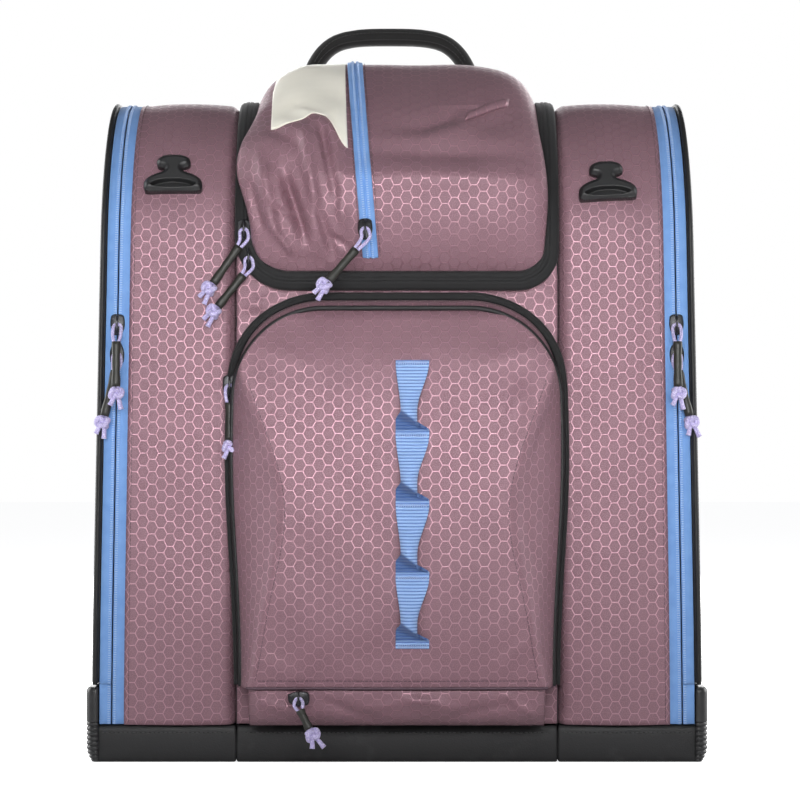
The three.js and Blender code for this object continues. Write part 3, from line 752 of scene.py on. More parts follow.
add_camera()
bpy.context.scene.view_settings.view_transform = "Standard"
add_world()
add_floor()
add_softbox("key", (0.0, -1.1, 0.42), (0.0, -0.15, 0.33), (1.1, 0.2), 2.1, 66)
add_softbox("left_side", (-1.8, 0.55, 0.7), (0.0, 0.0, 0.25), (1.1, 1.2), 30)
add_softbox("right_side", (1.8, 0.55, 0.7), (0.0, 0.0, 0.25), (1.1, 1.2), 30)
add_softbox("overhead", (0.0, -0.7, 1.7), (0.0, -0.1, 0.4), (1.6, 0.8), 3.2)
add_softbox("back_fill", (0.0, 2.2, 0.9), (0.0, 0.0, 0.3), (2.0, 1.2), 40)

# ---- pulls: slider, loop of cord, sleeve and knot ----
CORD_RADIUS = 1.3
CROSSING = 5.0
LEG = 3.0
SLIDER_REACH = 8.0
LANE = 1.5
KNOT_DROP = 5.0
SLEEVE_SECTION = circle(1.0, 18) * [3.15, 2.55]
SLIDER_OUTLINE = rounded(
    [(-3, -8), (3, -8), (5.5, -2), (5.4, 3), (4.6, 8), (-4.6, 8), (-5.4, 3), (-5.5, -2), (-3, -8)], 2
)[:-1]
# Depth and scale of the slider's outline, from its back face over the raised rim.
SLIDER_LEVELS = [(-0.4, 0.9), (-0.4, 1.0), (-2.5, 1.0), (-3.1, 0.95), (-3.35, 0.86)]
# Depth and height of the slider's bridge, as a share of half its length.
BRIDGE = [(-3.0, -1), (-6.2, -0.93), (-7.9, -0.6), (-8.1, 0), (-7.9, 0.6), (-6.2, 0.93), (-3.0, 1)]

# Each pull's route as in the CAD: the heights of the bare loop and of the sleeve, how far forward the
# sleeve's two ends stand, and how far its lower end lies to one side.
PULLS = {
    "left_upper": dict(drape=(8.5, 11.5)),
    "right_upper": dict(drape=(8.5, 11.5)),
    "left_lower": dict(swing=-9.0, turn=math.pi),
    "right_lower": dict(swing=9.0, turn=math.pi),
    "main_left": dict(sleeve=28.0, swing=-23.0),
    "main_right": dict(sleeve=24.0, swing=-23.0, turn=math.radians(-30)),
    "goggle": dict(neck=16.0, sleeve=24.0, swing=-27.0, tip=0.12),
    "pocket": dict(sleeve=28.0),
    "lower_pocket": dict(neck=8.0, sleeve=14.0, swing=8.0, turn=math.pi / 2, share=0.75),
}


def pull_place(name, tip):
    """Where the slider's tape face is, from the CAD slider's box, and how far it leans back."""
    low, high = limits(f"{name}_slider")
    middle = (low + high) / 2
    origin = np.array([middle[0], high[1] + 0.3 * math.cos(tip), middle[2]])
    return origin, np.array(Matrix.Rotation(-tip, 3, "X"))


def knot_parts(centre, axis, tilt):
    """A tight double knot: a closed trefoil of cord and two short tails with cut ends."""
    t = np.linspace(0, 2 * math.pi, 49)[:-1]
    local = xyz(np.sin(t) + 2 * np.sin(2 * t), np.cos(t) - 2 * np.cos(2 * t), -2.3 * np.sin(3 * t))
    across = np.cross(axis, [1.0, tilt, 0.2])
    across /= np.linalg.norm(across)
    right = np.cross(across, axis)
    ring = centre + (local * [1.6, 1.6, 1.2]) @ np.stack([right, across, axis])
    parts = [sweep(np.concatenate([ring, ring[:2]]), circle(2.0, 8), axis + 0.01)]
    widths = np.array([1, 1, 1, 1, 1, 1.02, 1.1, 1.2])
    for side in (-1, 1):
        bend = centre + side * 2.6 * right + 5.5 * axis
        end = centre + side * (4.0 + tilt) * right + (10.5 + side * 1.4) * axis - 0.6 * across
        line = spline([centre + side * 1.2 * right, bend, end], len(widths))
        parts.append(sweep(line, circle(1.75, 8), across, widths))
    return parts


def add_pull(name, neck=13.0, sleeve=34.0, drape=(0.5, 2.5), swing=0.0, turn=0.0, tip=0.0, share=1.0):
    origin, tilt = pull_place(name, tip)
    body = f"{name}_pull_body"
    end = neck + sleeve
    bend = min(SLIDER_REACH, neck * 0.7)

    def point(side, depth, forward=1.0):
        """A point at a depth below the crossing, `forward` being its share of the drape."""
        out = drape[0] * forward + (drape[1] - drape[0]) * max((depth - neck) / sleeve, 0)
        return (side + swing * max(depth - bend, 0) / (end - bend), -CROSSING - out, -depth)

    def world(points):
        return np.asarray(points, float) @ tilt.T + origin

    def leg(side):
        drops = [(LANE, end + 1), (LANE, neck + sleeve * 0.66), (LANE, neck + sleeve * 0.33)]
        hang = [point(side * off, depth) for off, depth in [*drops, (LANE + 0.1, neck + 2)]]
        loop = [(side * LEG, -CROSSING, -2.5), (side * LEG * 0.62, -CROSSING, -0.3)]
        return [*hang, point(side * LEG, bend, 0.6), *loop]

    line = spline(world([*leg(-1), (0, -CROSSING, 0.4), *leg(1)[::-1]]), 72)
    cord = loft_mesh(f"{name}_cord", sweep(line, circle(CORD_RADIUS, 10), (0.1, 0.9, 0.2)))
    finished(cord, body, "cord", f"{name}_pull")
    barrel = spline(world([point(0, neck), point(0, neck + sleeve * 0.5), point(0, end)]), 14)
    step = np.linspace(0, 1, 14)
    girth = 1 + 0.07 * np.cos(step * 2 * math.pi) + 0.05 * np.sin(step * 17)
    tube = loft_mesh(f"{name}_sleeve", sweep(barrel, SLEEVE_SECTION, (0.05, 1.0, 0.1), girth))
    finished(tube, body, "moulded", look="sleeve")
    collar, foot = world([point(0, neck), point(0, end)])
    axis = (foot - collar) / np.linalg.norm(foot - collar)
    parts = knot_parts(foot + KNOT_DROP * axis, axis, 0.35 * np.sign(swing + 0.5))
    tangle = finished(loft_mesh(f"{name}_knot", *parts), body, "cord")
    add_slider(name, origin, tilt, turn, share)


def add_slider(name, origin, tilt, turn, share):
    """The slider: a shouldered plate with a raised rim, and an arched bridge that turns only when the
    slider stands upside down."""
    spin = np.array(Matrix.Rotation(turn, 3, "Y"))
    plate = np.array([[(x * k, depth, z * k) for x, z in SLIDER_OUTLINE] for depth, k in SLIDER_LEVELS])
    arch = [(0, depth, 6.4 * share * k) for depth, k in BRIDGE]
    strip = sweep(spline(arch, 20), rounded_box(2.2, 1.5, 0.5, 2), (1.0, 0.0, 0.0))
    strip = strip @ spin.T if abs(turn) > 3 else strip
    parts = [part @ tilt.T + origin for part in (plate @ spin.T, strip)]
    made = loft_mesh(f"{name}_slider_body_part", *parts)
    finished(made, f"{name}_slider_body", "slider_metal", f"{name}_slider")


for pull_name, pull_spec in PULLS.items():
    add_pull(pull_name, **pull_spec)

# ---- side compartments ----
DOOR_ARCH = 150
DOOR_FOOT_POINTS = 38
DOOR_MIDDLE = 285.0
DIVIDER_MIDDLE = 270.0


def side_zip_half(name, side, edge, start, end, body, *nodes):
    """Half of a side zip, from its tape's edge to the split: the tape with the coil's ridge, and teeth."""
    toward = 1 if ZIP_SPLIT > edge else -1
    ridge = [(4.4, 0.8), (3.4, 1.25), (2.0, 1.55), (0.9, 1.35), (0.35, 0.5)]
    columns = [(edge, 0.1), (edge + toward * 0.3, 0.7)]
    columns += [(ZIP_SPLIT - toward * gap, up) for gap, up in ridge]
    x, lift = np.array(sorted((side * out, up) for out, up in columns)).T
    runs = np.linspace(start, end, int((end - start) / 5))[:, None]
    strip = sheet_mesh(f"{name}_tape", on_body(x, runs, lift), thickness=1.4)
    finished(strip, body, "blue_tape", *nodes)
    dense = np.linspace(start, end, 900)
    path = on_body(side * (ZIP_SPLIT - toward * 2.1), dense, 1.45)
    size = (0.85, 2.5, 0.7)
    add_row(f"{name}_teeth", path, body_up(dense), body, "blue_tape", "blue_teeth", 1.75, size, 0.0)


def add_side_zip(side, label):
    low, end = front_run(DOOR_FOOT), BODY.length - 1
    high = end + 1 - low
    for name, *rest in (
        ("fixed_zip", ZIP_INNER, 1.0, end, "shell", f"{label}_zip_inner_half"),
        ("door_zip", ZIP_OUTER, low, high, f"{label}_door_panel", f"{label}_zip_door_half"),
        ("front_zip_end", ZIP_OUTER, 1.0, low - 0.4, "shell"),
        ("back_zip_end", ZIP_OUTER, high + 0.4, end, "shell"),
    ):
        side_zip_half(f"{label}_{name}", side, *rest)


def boot_lift(x, run):
    """How far a boot compartment's skin stands off the plain profile."""
    across = np.abs(x) - MAIN_HALF
    share = across / (ZIP_INNER - MAIN_HALF)
    middle = np.sin(math.pi * np.clip(share, 0, 1))
    corner = 10.0
    inside = np.clip(corner - across, 0, corner)
    roll = corner - np.sqrt(np.maximum(corner**2 - inside**2, 0))
    hem = bell(share, 1.0, 0.06)
    return 3.2 * middle**0.8 - roll + 0.55 * relief(x, run, 95.0, 11) * middle + hem


def add_boot_skin(side, label):
    near = MAIN_HALF - 0.4 + 12 * (1 - np.cos(np.linspace(0, math.pi / 2, 12)))
    far = np.linspace(near[-1] + 3, ZIP_INNER + 0.2, 24)
    x = np.sort(side * np.concatenate([near, far]))
    runs = np.linspace(0.5, BODY.length - 0.5, 300)[:, None]
    skin = sheet_mesh(f"{label}_boot_skin", on_body(x, runs, boot_lift(x, runs)), xyz(x, runs))
    finished(skin, "shell", "ripstop", f"{label}_gusset")
    edge = side * (ZIP_INNER - 3.2)
    run = np.linspace(2, BODY.length - 2, 500)
    path = on_body(edge, run, boot_lift(edge, run) + 0.1)
    size = (2.3, 0.55, 0.5)
    add_row(f"{label}_boot_stitching", path, body_up(run), "shell", "ripstop", "thread", size=size, lift=0.1)


def add_divider(label):
    """The wall between a boot compartment and the main one, a little inside the skins."""
    _, y, z = on_body(0.0, np.linspace(0, BODY.length, 120), -13.0).T
    z = np.maximum(z, SKIN_FOOT) - DIVIDER_MIDDLE
    low, high = limits(f"{label}_divider")
    levels = [(low[0] + 0.5, 0.995), (low[0] + 0.9, 1.0), (high[0] - 0.9, 1.0), (high[0] - 0.5, 0.995)]
    wall = loft_mesh(f"{label}_divider_panel", [xyz(x, y * k, DIVIDER_MIDDLE + z * k) for x, k in levels])
    finished(wall, "shell", "lining", f"{label}_divider")


def door_ring(side, x, inset, share=1.0):
    """A loop of the door's outline, drawn in by `inset` and scaled towards the middle: first the arch, then
    the foot."""
    start = front_run(DOOR_FOOT) + 0.4
    _, y, z = on_body(0.0, np.linspace(start, BODY.length - start, DOOR_ARCH), -inset).T
    foot = z[0] = z[-1] = z[0] + inset
    y = np.concatenate([y, np.linspace(y[-1], y[0], DOOR_FOOT_POINTS + 2)[1:-1]]) * share
    z = np.concatenate([z, np.full(DOOR_FOOT_POINTS, foot)])
    z = DOOR_MIDDLE + (z - DOOR_MIDDLE) * share
    return xyz(leaned(side * x, z), y, z)


def add_door(side, label):
    body = f"{label}_door_panel"
    outwards = np.array([side, 0.0, 0.0])
    inner, outer = ZIP_OUTER + 0.4, DOOR_OUTER
    levels = [(inner, 6, 0.3), (inner, 6, 0.7), (inner, 6, 0.98), (inner, 0.4, 1.0), (inner + 0.6, 0, 1.0)]
    levels += [(outer - 1.2, 0, 1.0), (outer - 0.3, 0.8, 1.0), (outer, 2.5, 1.0), (outer - 0.9, 6.0, 1.0)]
    for k in np.linspace(0.97, 0.05, 26):
        swell = 2.8 - 3.6 * k**3.0 - 1.1 * bell(k, 0.62, 0.02)
        levels.append((outer + swell, 6.5, k))
    door = loft_mesh(f"{label}_door_cloth", [door_ring(side, *level) for level in levels])
    finished(door, body, "tarpaulin", f"{label}_door", look="door")
    for k, (x, inset) in enumerate([(outer, 8.2), (outer + 0.25, 10.4)]):
        arch = door_ring(side, x, inset)[:DOOR_ARCH]
        row, size = f"{label}_door_stitching_{k}", (2.8, 0.7, 0.7)
        add_row(row, arch, outwards, body, "tarpaulin", "black_thread", 4.0, size)
    tube = sweep(door_ring(side, DOOR_OUTER - 2.7, -0.9)[:DOOR_ARCH], circle(2.0, 10), outwards)
    finished(loft_mesh(f"{label}_door_piping", tube), body, "tarpaulin", look="piping")


# Height and inset of the base tray's rings: up the inside, over the rim, down the soft wall and under.
TRAY_LEVELS = [
    (3.0, 30.0), (3.2, 8.0), (6, 4.0), (BASE_TOP - 6, 3.6), (BASE_TOP - 1, 3.4), (BASE_TOP - 0.2, 2.6),
    (BASE_TOP, 1.4), (BASE_TOP - 0.5, 0.4), (BASE_TOP - 4, -0.1), (18, -0.5), (10, -0.6), (4, -0.3),
    (1.2, 0.0), (0.4, 0.4), (0.1, 1.2), (0.05, 30.0),
]
TRAY_CORNER = 1.6


def add_base():
    for label in ("left", "centre", "right"):
        low, high = limits(f"{label}_base")
        centre = (low[0] + high[0]) / 2
        width, depth = high[0] - low[0] - 0.2, -2 * BASE_FRONT
        loops = []
        for z, inset in TRAY_LEVELS:
            ring = rounded_box(width - 2 * inset, depth - 2 * inset, max(TRAY_CORNER - inset, 0.6), 5)
            loops.append(xyz(centre + ring[:, 0], ring[:, 1], z))
        finished(loft_mesh(f"{label}_base_tray", loops), "shell", "tarpaulin", f"{label}_base")
        for end, y, out in (("front", low[1] - 0.2, FORWARD), ("back", high[1] + 0.2, BACKWARD)):
            path = xyz(np.linspace(low[0] + 4, high[0] - 4, 40), y, BASE_TOP - 5.5)
            add_row(f"{label}_base_{end}_stitching", path, out, "shell", "tarpaulin", "black_thread", 3.4)


def add_side_post(side, label):
    """The black wall under the door, between the base and the door's hinge line."""
    y = np.linspace(BASE_FRONT + 2, -BASE_FRONT - 2, 60)
    z = np.linspace(BASE_TOP - 4, DOOR_FOOT - 1.5, 10)[:, None]
    bulge = 0.5 * np.sin(math.pi * (z - z[0]) / (z[-1] - z[0]))
    points = xyz(leaned(side * (ZIP_OUTER + 3.0 + bulge), z), y, z)
    wall = sheet_mesh(f"{label}_hinge_wall", points, thickness=1.6, flip=side < 0)
    finished(wall, "shell", "tarpaulin", look="door")


RIB_PITCH = 3.625
RIB_DEPTH = 1.3


def add_bumper(side, label, end):
    """A corner guard: a plain upper half and ribs below, wrapped round the corner on to the end face."""
    low, high = limits(f"{label}_{end}_bumper")
    sign = 1 if end == "back" else -1
    out_x = high[0] if side > 0 else -low[0]
    out_y = high[1] if sign > 0 else -low[1]
    in_x, in_y, end_x, end_y, turn = 229.4, 119.0, 226.6, out_y - 3.2, 7.0
    angles = np.linspace(0, math.pi / 2, 10)
    bend = xyz(out_x - turn + turn * np.cos(angles), out_y - turn + turn * np.sin(angles))
    outer = np.concatenate([xyz(out_x, np.linspace(in_y, out_y - turn - 1, 7)), bend, [(end_x, out_y)]])
    out = np.gradient(outer, axis=0)
    out = xyz(out[:, 1], -out[:, 0]) / np.linalg.norm(out, axis=1)[:, None]
    inner = [(end_x, end_y), (in_x, end_y), (in_x, in_y)]
    heights = [0.3, 1.0, *np.linspace(2, 31, 120), *np.linspace(32, 53, 8), 55.0, 56.4, 56.9]
    loops = []
    for height in heights:
        rib = abs(math.sin(math.pi * (height - 2) / RIB_PITCH)) ** 0.7 - 1 if 2 < height < 31 else 0.0
        foot = 4.5 * max(1 - height / 12, 0) ** 2
        crown = 1.6 * max((height - 53.5) / 3.4, 0) ** 2
        ring = np.concatenate([outer + out * (RIB_DEPTH * rib - foot - crown), inner])
        loops.append(xyz(side * ring[:, 0], sign * ring[:, 1], height))
    finished(loft_mesh(f"{label}_{end}_guard", loops), "shell", "bumper", f"{label}_{end}_bumper")


for side_sign, side_label in SIDES:
    add_divider(side_label)
    add_boot_skin(side_sign, side_label)
    add_side_zip(side_sign, side_label)
    add_door(side_sign, side_label)
    add_side_post(side_sign, side_label)
    for end_name in ("front", "back"):
        add_bumper(side_sign, side_label, end_name)
add_base()


# ---- main compartment ----
MOUTH_SIDE = 89


def mouth(inset=0.0):
    """The U of the main opening, as (x, run), from the left hinge end round the front to the right one."""
    half = MAIN_HALF - 0.3 - inset
    foot = front_run(LID_ZIP_FOOT + inset)
    end = top_run(LID_HINGE_Y)
    left, right = (corner - inset for corner in LID_CORNERS)
    rise = np.linspace(end, front_run(LID_ZIP_FOOT + LID_CORNERS[0]), MOUTH_SIDE + 1)[:-1]
    turn = np.linspace(math.pi, 1.5 * math.pi, 24)
    left_arc = xyz(left - half + left * np.cos(turn), foot + left + left * np.sin(turn))
    turn = turn + math.pi / 2
    right_arc = xyz(half - right + right * np.cos(turn), foot + right + right * np.sin(turn))
    flat = xyz(np.linspace(left_arc[-1, 0], right_arc[0, 0], 60)[1:-1], foot)
    climb = np.linspace(right_arc[-1, 1], end, MOUTH_SIDE + 1)[1:]
    return np.concatenate([xyz(-half, rise), left_arc, flat, right_arc, xyz(half, climb)])


def main_zip_half(name, columns, body, node):
    """Half of the main zip's tape, from (inset, lift) columns across it."""
    lines = np.stack([mouth(inset) for inset, _ in columns], 1)
    points = on_body(lines[..., 0], lines[..., 1], np.array([lift for _, lift in columns]))
    finished(outward(sheet_mesh(f"{name}_tape", points, thickness=1.5)), body, "black_tape", node)


def main_row(name, inset, lift, body, pitch=1.9, size=(0.95, 1.9, 0.8)):
    x, run = mouth(inset).T
    path, up = on_body(x, run, lift), body_up(run)
    add_row(name, path, up, body, "black_tape", "black_teeth", pitch, size, lift=0.0, start=1.0)


def add_main_zip():
    outer = [(0.2, 0.2), (0.6, 1.5), (1.6, 2.3), (3.0, 2.2), (4.0, 2.9), (4.9, 3.1), (5.6, 2.4), (5.85, 1.2)]
    inner = [(6.1, 1.2), (6.35, 2.4), (7.1, 3.1), (8.0, 2.9), (9.0, 2.2), (10.4, 2.6), (11.4, 2.9)]
    inner.append((12.3, 1.2))
    main_zip_half("main_zip_body", outer, "shell", "main_zip_body_half")
    main_zip_half("main_zip_lid", inner, "lid", "main_zip_lid_half")
    main_row("main_zip_body_teeth", 4.5, 3.05, "shell")
    main_row("main_zip_lid_teeth", 7.5, 3.05, "lid")
    main_row("main_zip_edge_stitching", 2.0, 2.35, "shell", 3.4, (2.2, 0.6, 0.5))


# Soft folds pressed into the front panel above the pocket: start, end (x, z), width and height.
PANEL_FOLDS = [
    ((-122, 352), (-70, 338), 5.0, 1.8),
    ((-118, 340), (-92, 357), 4.0, 1.5),
    ((-60, 356), (20, 349), 5.0, 1.4),
    ((40, 349), (112, 357), 4.0, 1.6),
    ((96, 372), (119, 350), 4.0, 1.5),
    ((-121, 380), (-108, 352), 4.0, 1.2),
]


def add_main_panel():
    x = np.linspace(-MAIN_HALF + 0.4, MAIN_HALF - 0.4, 121)
    edge = mouth()[MOUTH_SIDE:-MOUTH_SIDE]
    run = 1.0 + (np.interp(x, *edge.T) - 1.3) * np.linspace(0, 1, 110)[:, None]
    z = BODY.at(run)[1]
    lift = 0.6 * relief(x, z, 70.0, 5) * smooth(60, 200, z) + creases(x, z, PANEL_FOLDS) - 0.6
    panel = sheet_mesh("main_panel", on_body(x, run, lift), xyz(x, run))
    finished(panel, "shell", "ripstop", "main_front_panel")


def add_back_panel():
    x = np.linspace(-MAIN_HALF + 0.4, MAIN_HALF - 0.4, 61)
    run = np.linspace(top_run(106.0), BODY.length - 0.5, 150)[:, None]
    soft = 0.7 * relief(x, run, 80.0, 21) - 0.8
    panel = sheet_mesh("back_panel", on_body(x, run, soft), xyz(x, run))
    finished(panel, "shell", "tarpaulin", "main_back_panel")
    _, y, z = on_body(0.0, top_run(107.5), 0.6)
    path = xyz(np.linspace(-118, 118, 60), y, z)
    add_row("back_hinge_stitching", path, UPWARD, "shell", "tarpaulin", "black_thread")


def add_seam_wall(side, label):
    """The turned-in edge of the main compartment, down to the boot compartment's skin beside it. It is black
    all along: at the top and back that matches the real black tape and cloth, at the front it is painted
    shade in the groove.
    """
    run = np.linspace(0.5, BODY.length - 0.5, 300)[:, None]
    points = on_body(side * (MAIN_HALF - 0.7), run, np.linspace(-14.0, -1.0, 6))
    wall = sheet_mesh(f"{label}_seam_wall", points, thickness=0.8, flip=side < 0)
    # Black: the real black tape and cloth at the top and back, painted shade in the groove at the front.
    finished(wall, "shell", "black_tape")


def add_lid_hinge():
    """The bound seam between the back panel and the lid."""
    half = 108.5
    x = np.linspace(-half, half, 60)
    path = xyz(x, LID_HINGE_Y + 1.6, 507.3 - 1.3 * (x / half) ** 4)
    seam = loft_mesh("lid_hinge_seam", sweep(path, rounded_box(5.4, 5.0, 2.2), UPWARD))
    finished(seam, "shell", "tarpaulin")


# ---- lid ----
LID_CREST = Line(
    rounded(
        [(-150.8, 371.5), (-159, 381), (-168, 399), (-174.5, 422), (-175.0, 441), (-173.6, 447),
         (-158, 469.5), (-130, 497), (-100, 520), (-72, 535), (-45, 540.5), (0, 539), (50, 529), (103, 509)],
        2,
    )
)
LID_FOOT = 371.5
LID_HALF = 109.6
LID_SHOULDER = 4.6
LID_OUT = np.array([0.0, -0.85, 0.5])


def lid_section(run):
    """The lid at runs along its crest: the seam's (y, z), the crest's (y, z), the left and right half width,
    and how much it narrows at the top."""
    start, end = front_run(LID_FOOT), top_run(LID_HINGE_Y)
    seam = BODY.at(start + (end - start) * (run / LID_CREST.length))
    crest = LID_CREST.at(run)
    halves = []
    for corner in (LID_CORNERS[0] - LID_ZIP_WIDTH, LID_CORNERS[1] - LID_ZIP_WIDTH):
        below = np.clip(corner - (seam[1] - LID_FOOT), 0, corner)
        halves.append(LID_HALF - corner + np.sqrt(np.maximum(corner**2 - below**2, 0)))
    return seam, crest, halves, 1 - 0.15 * smooth(455, 545, crest[1])


# Folds on the slack cloth left of the goggle zip: start, end (x, z), width and height, valleys negative.
LID_FOLDS = [
    ((-58, 478), (-43, 420), 3.6, -7.5),
    ((-85, 446), (-68, 392), 4.6, -9.5),
    ((-70, 472), (-58, 404), 4.5, 5.0),
    ((-104, 462), (-92, 398), 5.0, 4.6),
    ((-110, 440), (-101, 404), 3.4, -4.0),
    ((-54, 462), (-36, 398), 3.6, 4.0),
    ((-62, 424), (-46, 380), 3.8, -4.6),
    ((-96, 410), (-78, 384), 3.2, 3.0),
    ((-50, 398), (-27, 384), 2.8, -3.6),
    ((-98, 480), (-72, 462), 5.0, -3.6),
    ((-78, 496), (-46, 470), 5.0, 3.4),
    ((-102, 424), (-74, 410), 3.0, -2.4),
]
# The two long folds on the right of it.
LID_SLOPE_FOLDS = [((20, 468), (86, 502), 8.0, 2.6), ((8, 478), (44, 494), 6.0, -4.2)]


def lid_lift(x, z, run):
    """The lid's soft shape on top of its smooth dome, along the crest's normal."""
    slack = 1 - smooth(-46, -30, x)
    front = run < LID_CREST.run_at_z(500.0)
    rear = smooth(0.5, 0.7, run / LID_CREST.length)
    bulge = 12.0 * slack * bell(x, -70, 32) * bell(z, 471, 18) * smooth(420, 450, z)
    waves = 0.9 * relief(x, run, 85.0, 31) + 1.8 * relief(x, run, 60.0, 32) * slack * (1 - rear)
    folds = slack * creases(x, z, LID_FOLDS) + creases(x, z, LID_SLOPE_FOLDS)
    dent = 3.4 * bell(x, 66, 24) * bell(z, 490, 13)
    ledge = (2.6 * bell(z, 441, 9) - 4.6 * bell(z, 463, 8)) * bell(x, 34, 60) * (1 - slack)
    return bulge + waves + (folds - dent + ledge) * front


def lid_point(x, run, rise, extra, seam, crest):
    """A point `rise` of the way from the seam to the crest, with the soft shape and `extra` lift."""
    ny, nz = LID_CREST.normal(run)
    lift = (lid_lift(x, crest[1], run) + extra) * smooth(0.05, 0.6, rise)
    lift = lift * smooth(0, 14, run) * smooth(0, 14, LID_CREST.length - run) + extra * 0.2
    y = seam[0] + (crest[0] - seam[0]) * rise + ny * lift
    z = seam[1] + (crest[1] - seam[1]) * rise + nz * lift
    return xyz(x, y, z)


def lid_at(x, run, extra=0.0):
    """A point of the lid's cloth at width x and run along its crest."""
    x, run, extra = np.broadcast_arrays(*(np.asarray(part, float) for part in (x, run, extra)))
    seam, crest, halves, narrow = lid_section(run)
    half = np.where(x < 0, *halves)
    rise = 0.0
    for _ in range(4):
        share = np.clip(np.abs(x) / (half * (1 - rise * (1 - narrow))), 0, 1)
        rise = (1 - share**LID_SHOULDER) ** (1 / LID_SHOULDER)
    return lid_point(x, run, rise, extra, seam, crest)


def lid_run(z):
    return LID_CREST.run_at_z(z)


def from_middle(points):
    """The distance across each row of a grid, measured from its middle column."""
    steps = np.linalg.norm(np.diff(points, axis=1), axis=2)
    across = np.concatenate([np.zeros((len(points), 1)), np.cumsum(steps, axis=1)], axis=1)
    middle = points.shape[1] // 2
    return across - across[:, middle : middle + 1]


def add_lid_cloth():
    run = np.linspace(0.0, LID_CREST.length, 230)[:, None]
    turn = 0.9
    left, right = np.linspace(math.pi, math.pi - turn, 26)[:-1], np.linspace(turn, 0, 26)[1:]
    angles = np.concatenate([left, np.linspace(math.pi - turn, turn, 110), right])
    cos, sin = np.cos(angles), np.maximum(np.sin(angles), 0)
    seam, crest, halves, narrow = lid_section(run)
    power = 2 / LID_SHOULDER
    rise = sin**power
    spread = np.sign(cos) * np.abs(cos) ** power
    slump = np.where(cos < 0, 13.0 * bell(crest[1], 458, 36), -5.0 * bell(crest[1], 430, 45))
    x = np.where(cos < 0, *halves) * spread * (1 - rise * (1 - narrow))
    x = x - slump * np.sin(math.pi * np.clip(rise, 0, 1)) * np.abs(spread) ** 6
    points = lid_point(x, run, rise, 0.0, seam, crest)
    middle = len(angles) // 2
    uv = xyz(from_middle(points) + x[:, middle : middle + 1], run)
    finished(sheet_mesh("lid_cloth", points, uv), "lid", "ripstop", "lid_shell")


def add_reflective_panel():
    x = np.linspace(0, 1, 50)
    drop = x[:, None]
    foot = 479.5 + 5.5 * bell(x, 0.62, 0.22) - 15.5 * smooth(0.68, 1.0, x) - 1.5 * bell(x, 0.1, 0.2)
    top, low = lid_run(538.5), lid_run(foot)
    left = -97.0 + 1.5 * (1 - drop)
    right = -40.6 + 3.6 * (1 - drop) ** 1.5
    points = lid_at(left + (right - left) * x, low + (top - low) * drop, 0.9)
    panel = sheet_mesh("reflective_panel", points, thickness=0.7)
    finished(panel, "lid", "reflective", "lid_reflective_panel")


def goggle_path(run, off, lift):
    """Points beside the line that the goggle zip's split takes across the lid."""
    z = LID_CREST.at(run)[1]
    return lid_at(-32.8 + 0.085 * (535 - z) + off, run, lift)


def add_goggle_zip():
    start, end = lid_run(383.0), lid_run(539.5)
    columns = [(-6.0, 0.5), (-5.6, 1.3), (-3.6, 1.5), (-1.8, 2.1), (-0.9, 1.9), (-0.25, 0.9)]
    columns += [(-off, lift) for off, lift in columns[::-1]]
    points = goggle_path(np.linspace(start, end, 150)[:, None], *np.array(columns).T)
    finished(sheet_mesh("goggle_zip_tape", points, thickness=1.3), "lid", "blue_tape", "goggle_zip")
    for k, off in enumerate((-2.0, 2.0)):
        path = goggle_path(np.linspace(start, end, 500), off, 2.0)
        size = (0.85, 1.9, 0.7)
        add_row(f"goggle_zip_teeth_{k}", path, LID_OUT, "lid", "blue_tape", "blue_teeth", 1.75, size, 0.0)
    for k, off in enumerate((-7.0, 7.4)):
        path = goggle_path(np.linspace(start, end, 120), off, 0.3)
        add_row(f"goggle_seam_{k}", path, LID_OUT, "lid", "ripstop", "thread", size=(2.3, 0.5, 0.5))


def add_fold_tab():
    """A folded strip of cloth sewn across the slope of the lid."""
    along = np.linspace(0, 1, 40)
    across = np.linspace(0, 1, 12)[:, None]
    x = 52.0 + 34.0 * along + 1.5 * (across - 0.5)
    z = 491.5 + 13.5 * along + 7.5 * (across - 0.5)
    ends = smooth(0, 0.06, along) * (1 - smooth(0.94, 1.0, along))
    lift = (2.4 * np.sin(math.pi * across) ** 0.5 + 0.3) * (0.35 + 0.65 * ends)
    tab = sheet_mesh("fold_tab", lid_at(x, lid_run(z), lift), xyz(x, z), thickness=0.9)
    finished(tab, "lid", "ripstop", "lid_fold_tab")


add_main_panel()
add_main_zip()
add_back_panel()
for side_sign, side_label in SIDES:
    add_seam_wall(side_sign, side_label)
add_lid_hinge()
add_lid_cloth()
add_reflective_panel()
add_goggle_zip()
add_fold_tab()


# ---- front pocket ----
POCKET_FOOT = limits("front_pocket")[0][2]
POCKET_HALF, POCKET_BACK, POCKET_TOP = limits("front_pocket")[1]
POCKET_CORNER = 66.0
# The pocket's depth and the place of its side seams, at each height.
POCKET_DEPTH = rounded([(57, 36), (76, 42), (118, 49.5), (190, 53.5), (260, 48), (310, 35), (344, 19)], 2)
SEAM_LINE = rounded(
    [(56, 113), (70, 108), (123, 99), (165, 89), (192, 86), (225, 91), (265, 106), (300, 119), (344, 121)], 2
)
SEAM_STITCH = (2.3, 0.5, 0.45)


def pocket_edge(z):
    """Half the pocket's width at a height."""
    half = POCKET_HALF + 4.5 * bell(z, 235, 85) - 2.4 * (1 - smooth(60, 200, z))
    rise = np.clip(z - (POCKET_TOP - POCKET_CORNER), 0, POCKET_CORNER)
    return half - POCKET_CORNER + np.sqrt(np.maximum(POCKET_CORNER**2 - rise**2, 0))


def edge_depth(z):
    """How far the pocket's piped edge stands off the bag."""
    return 8.5 + 9.5 * smooth(280, 344, z) + 3.0 * (1 - smooth(60, 110, z))


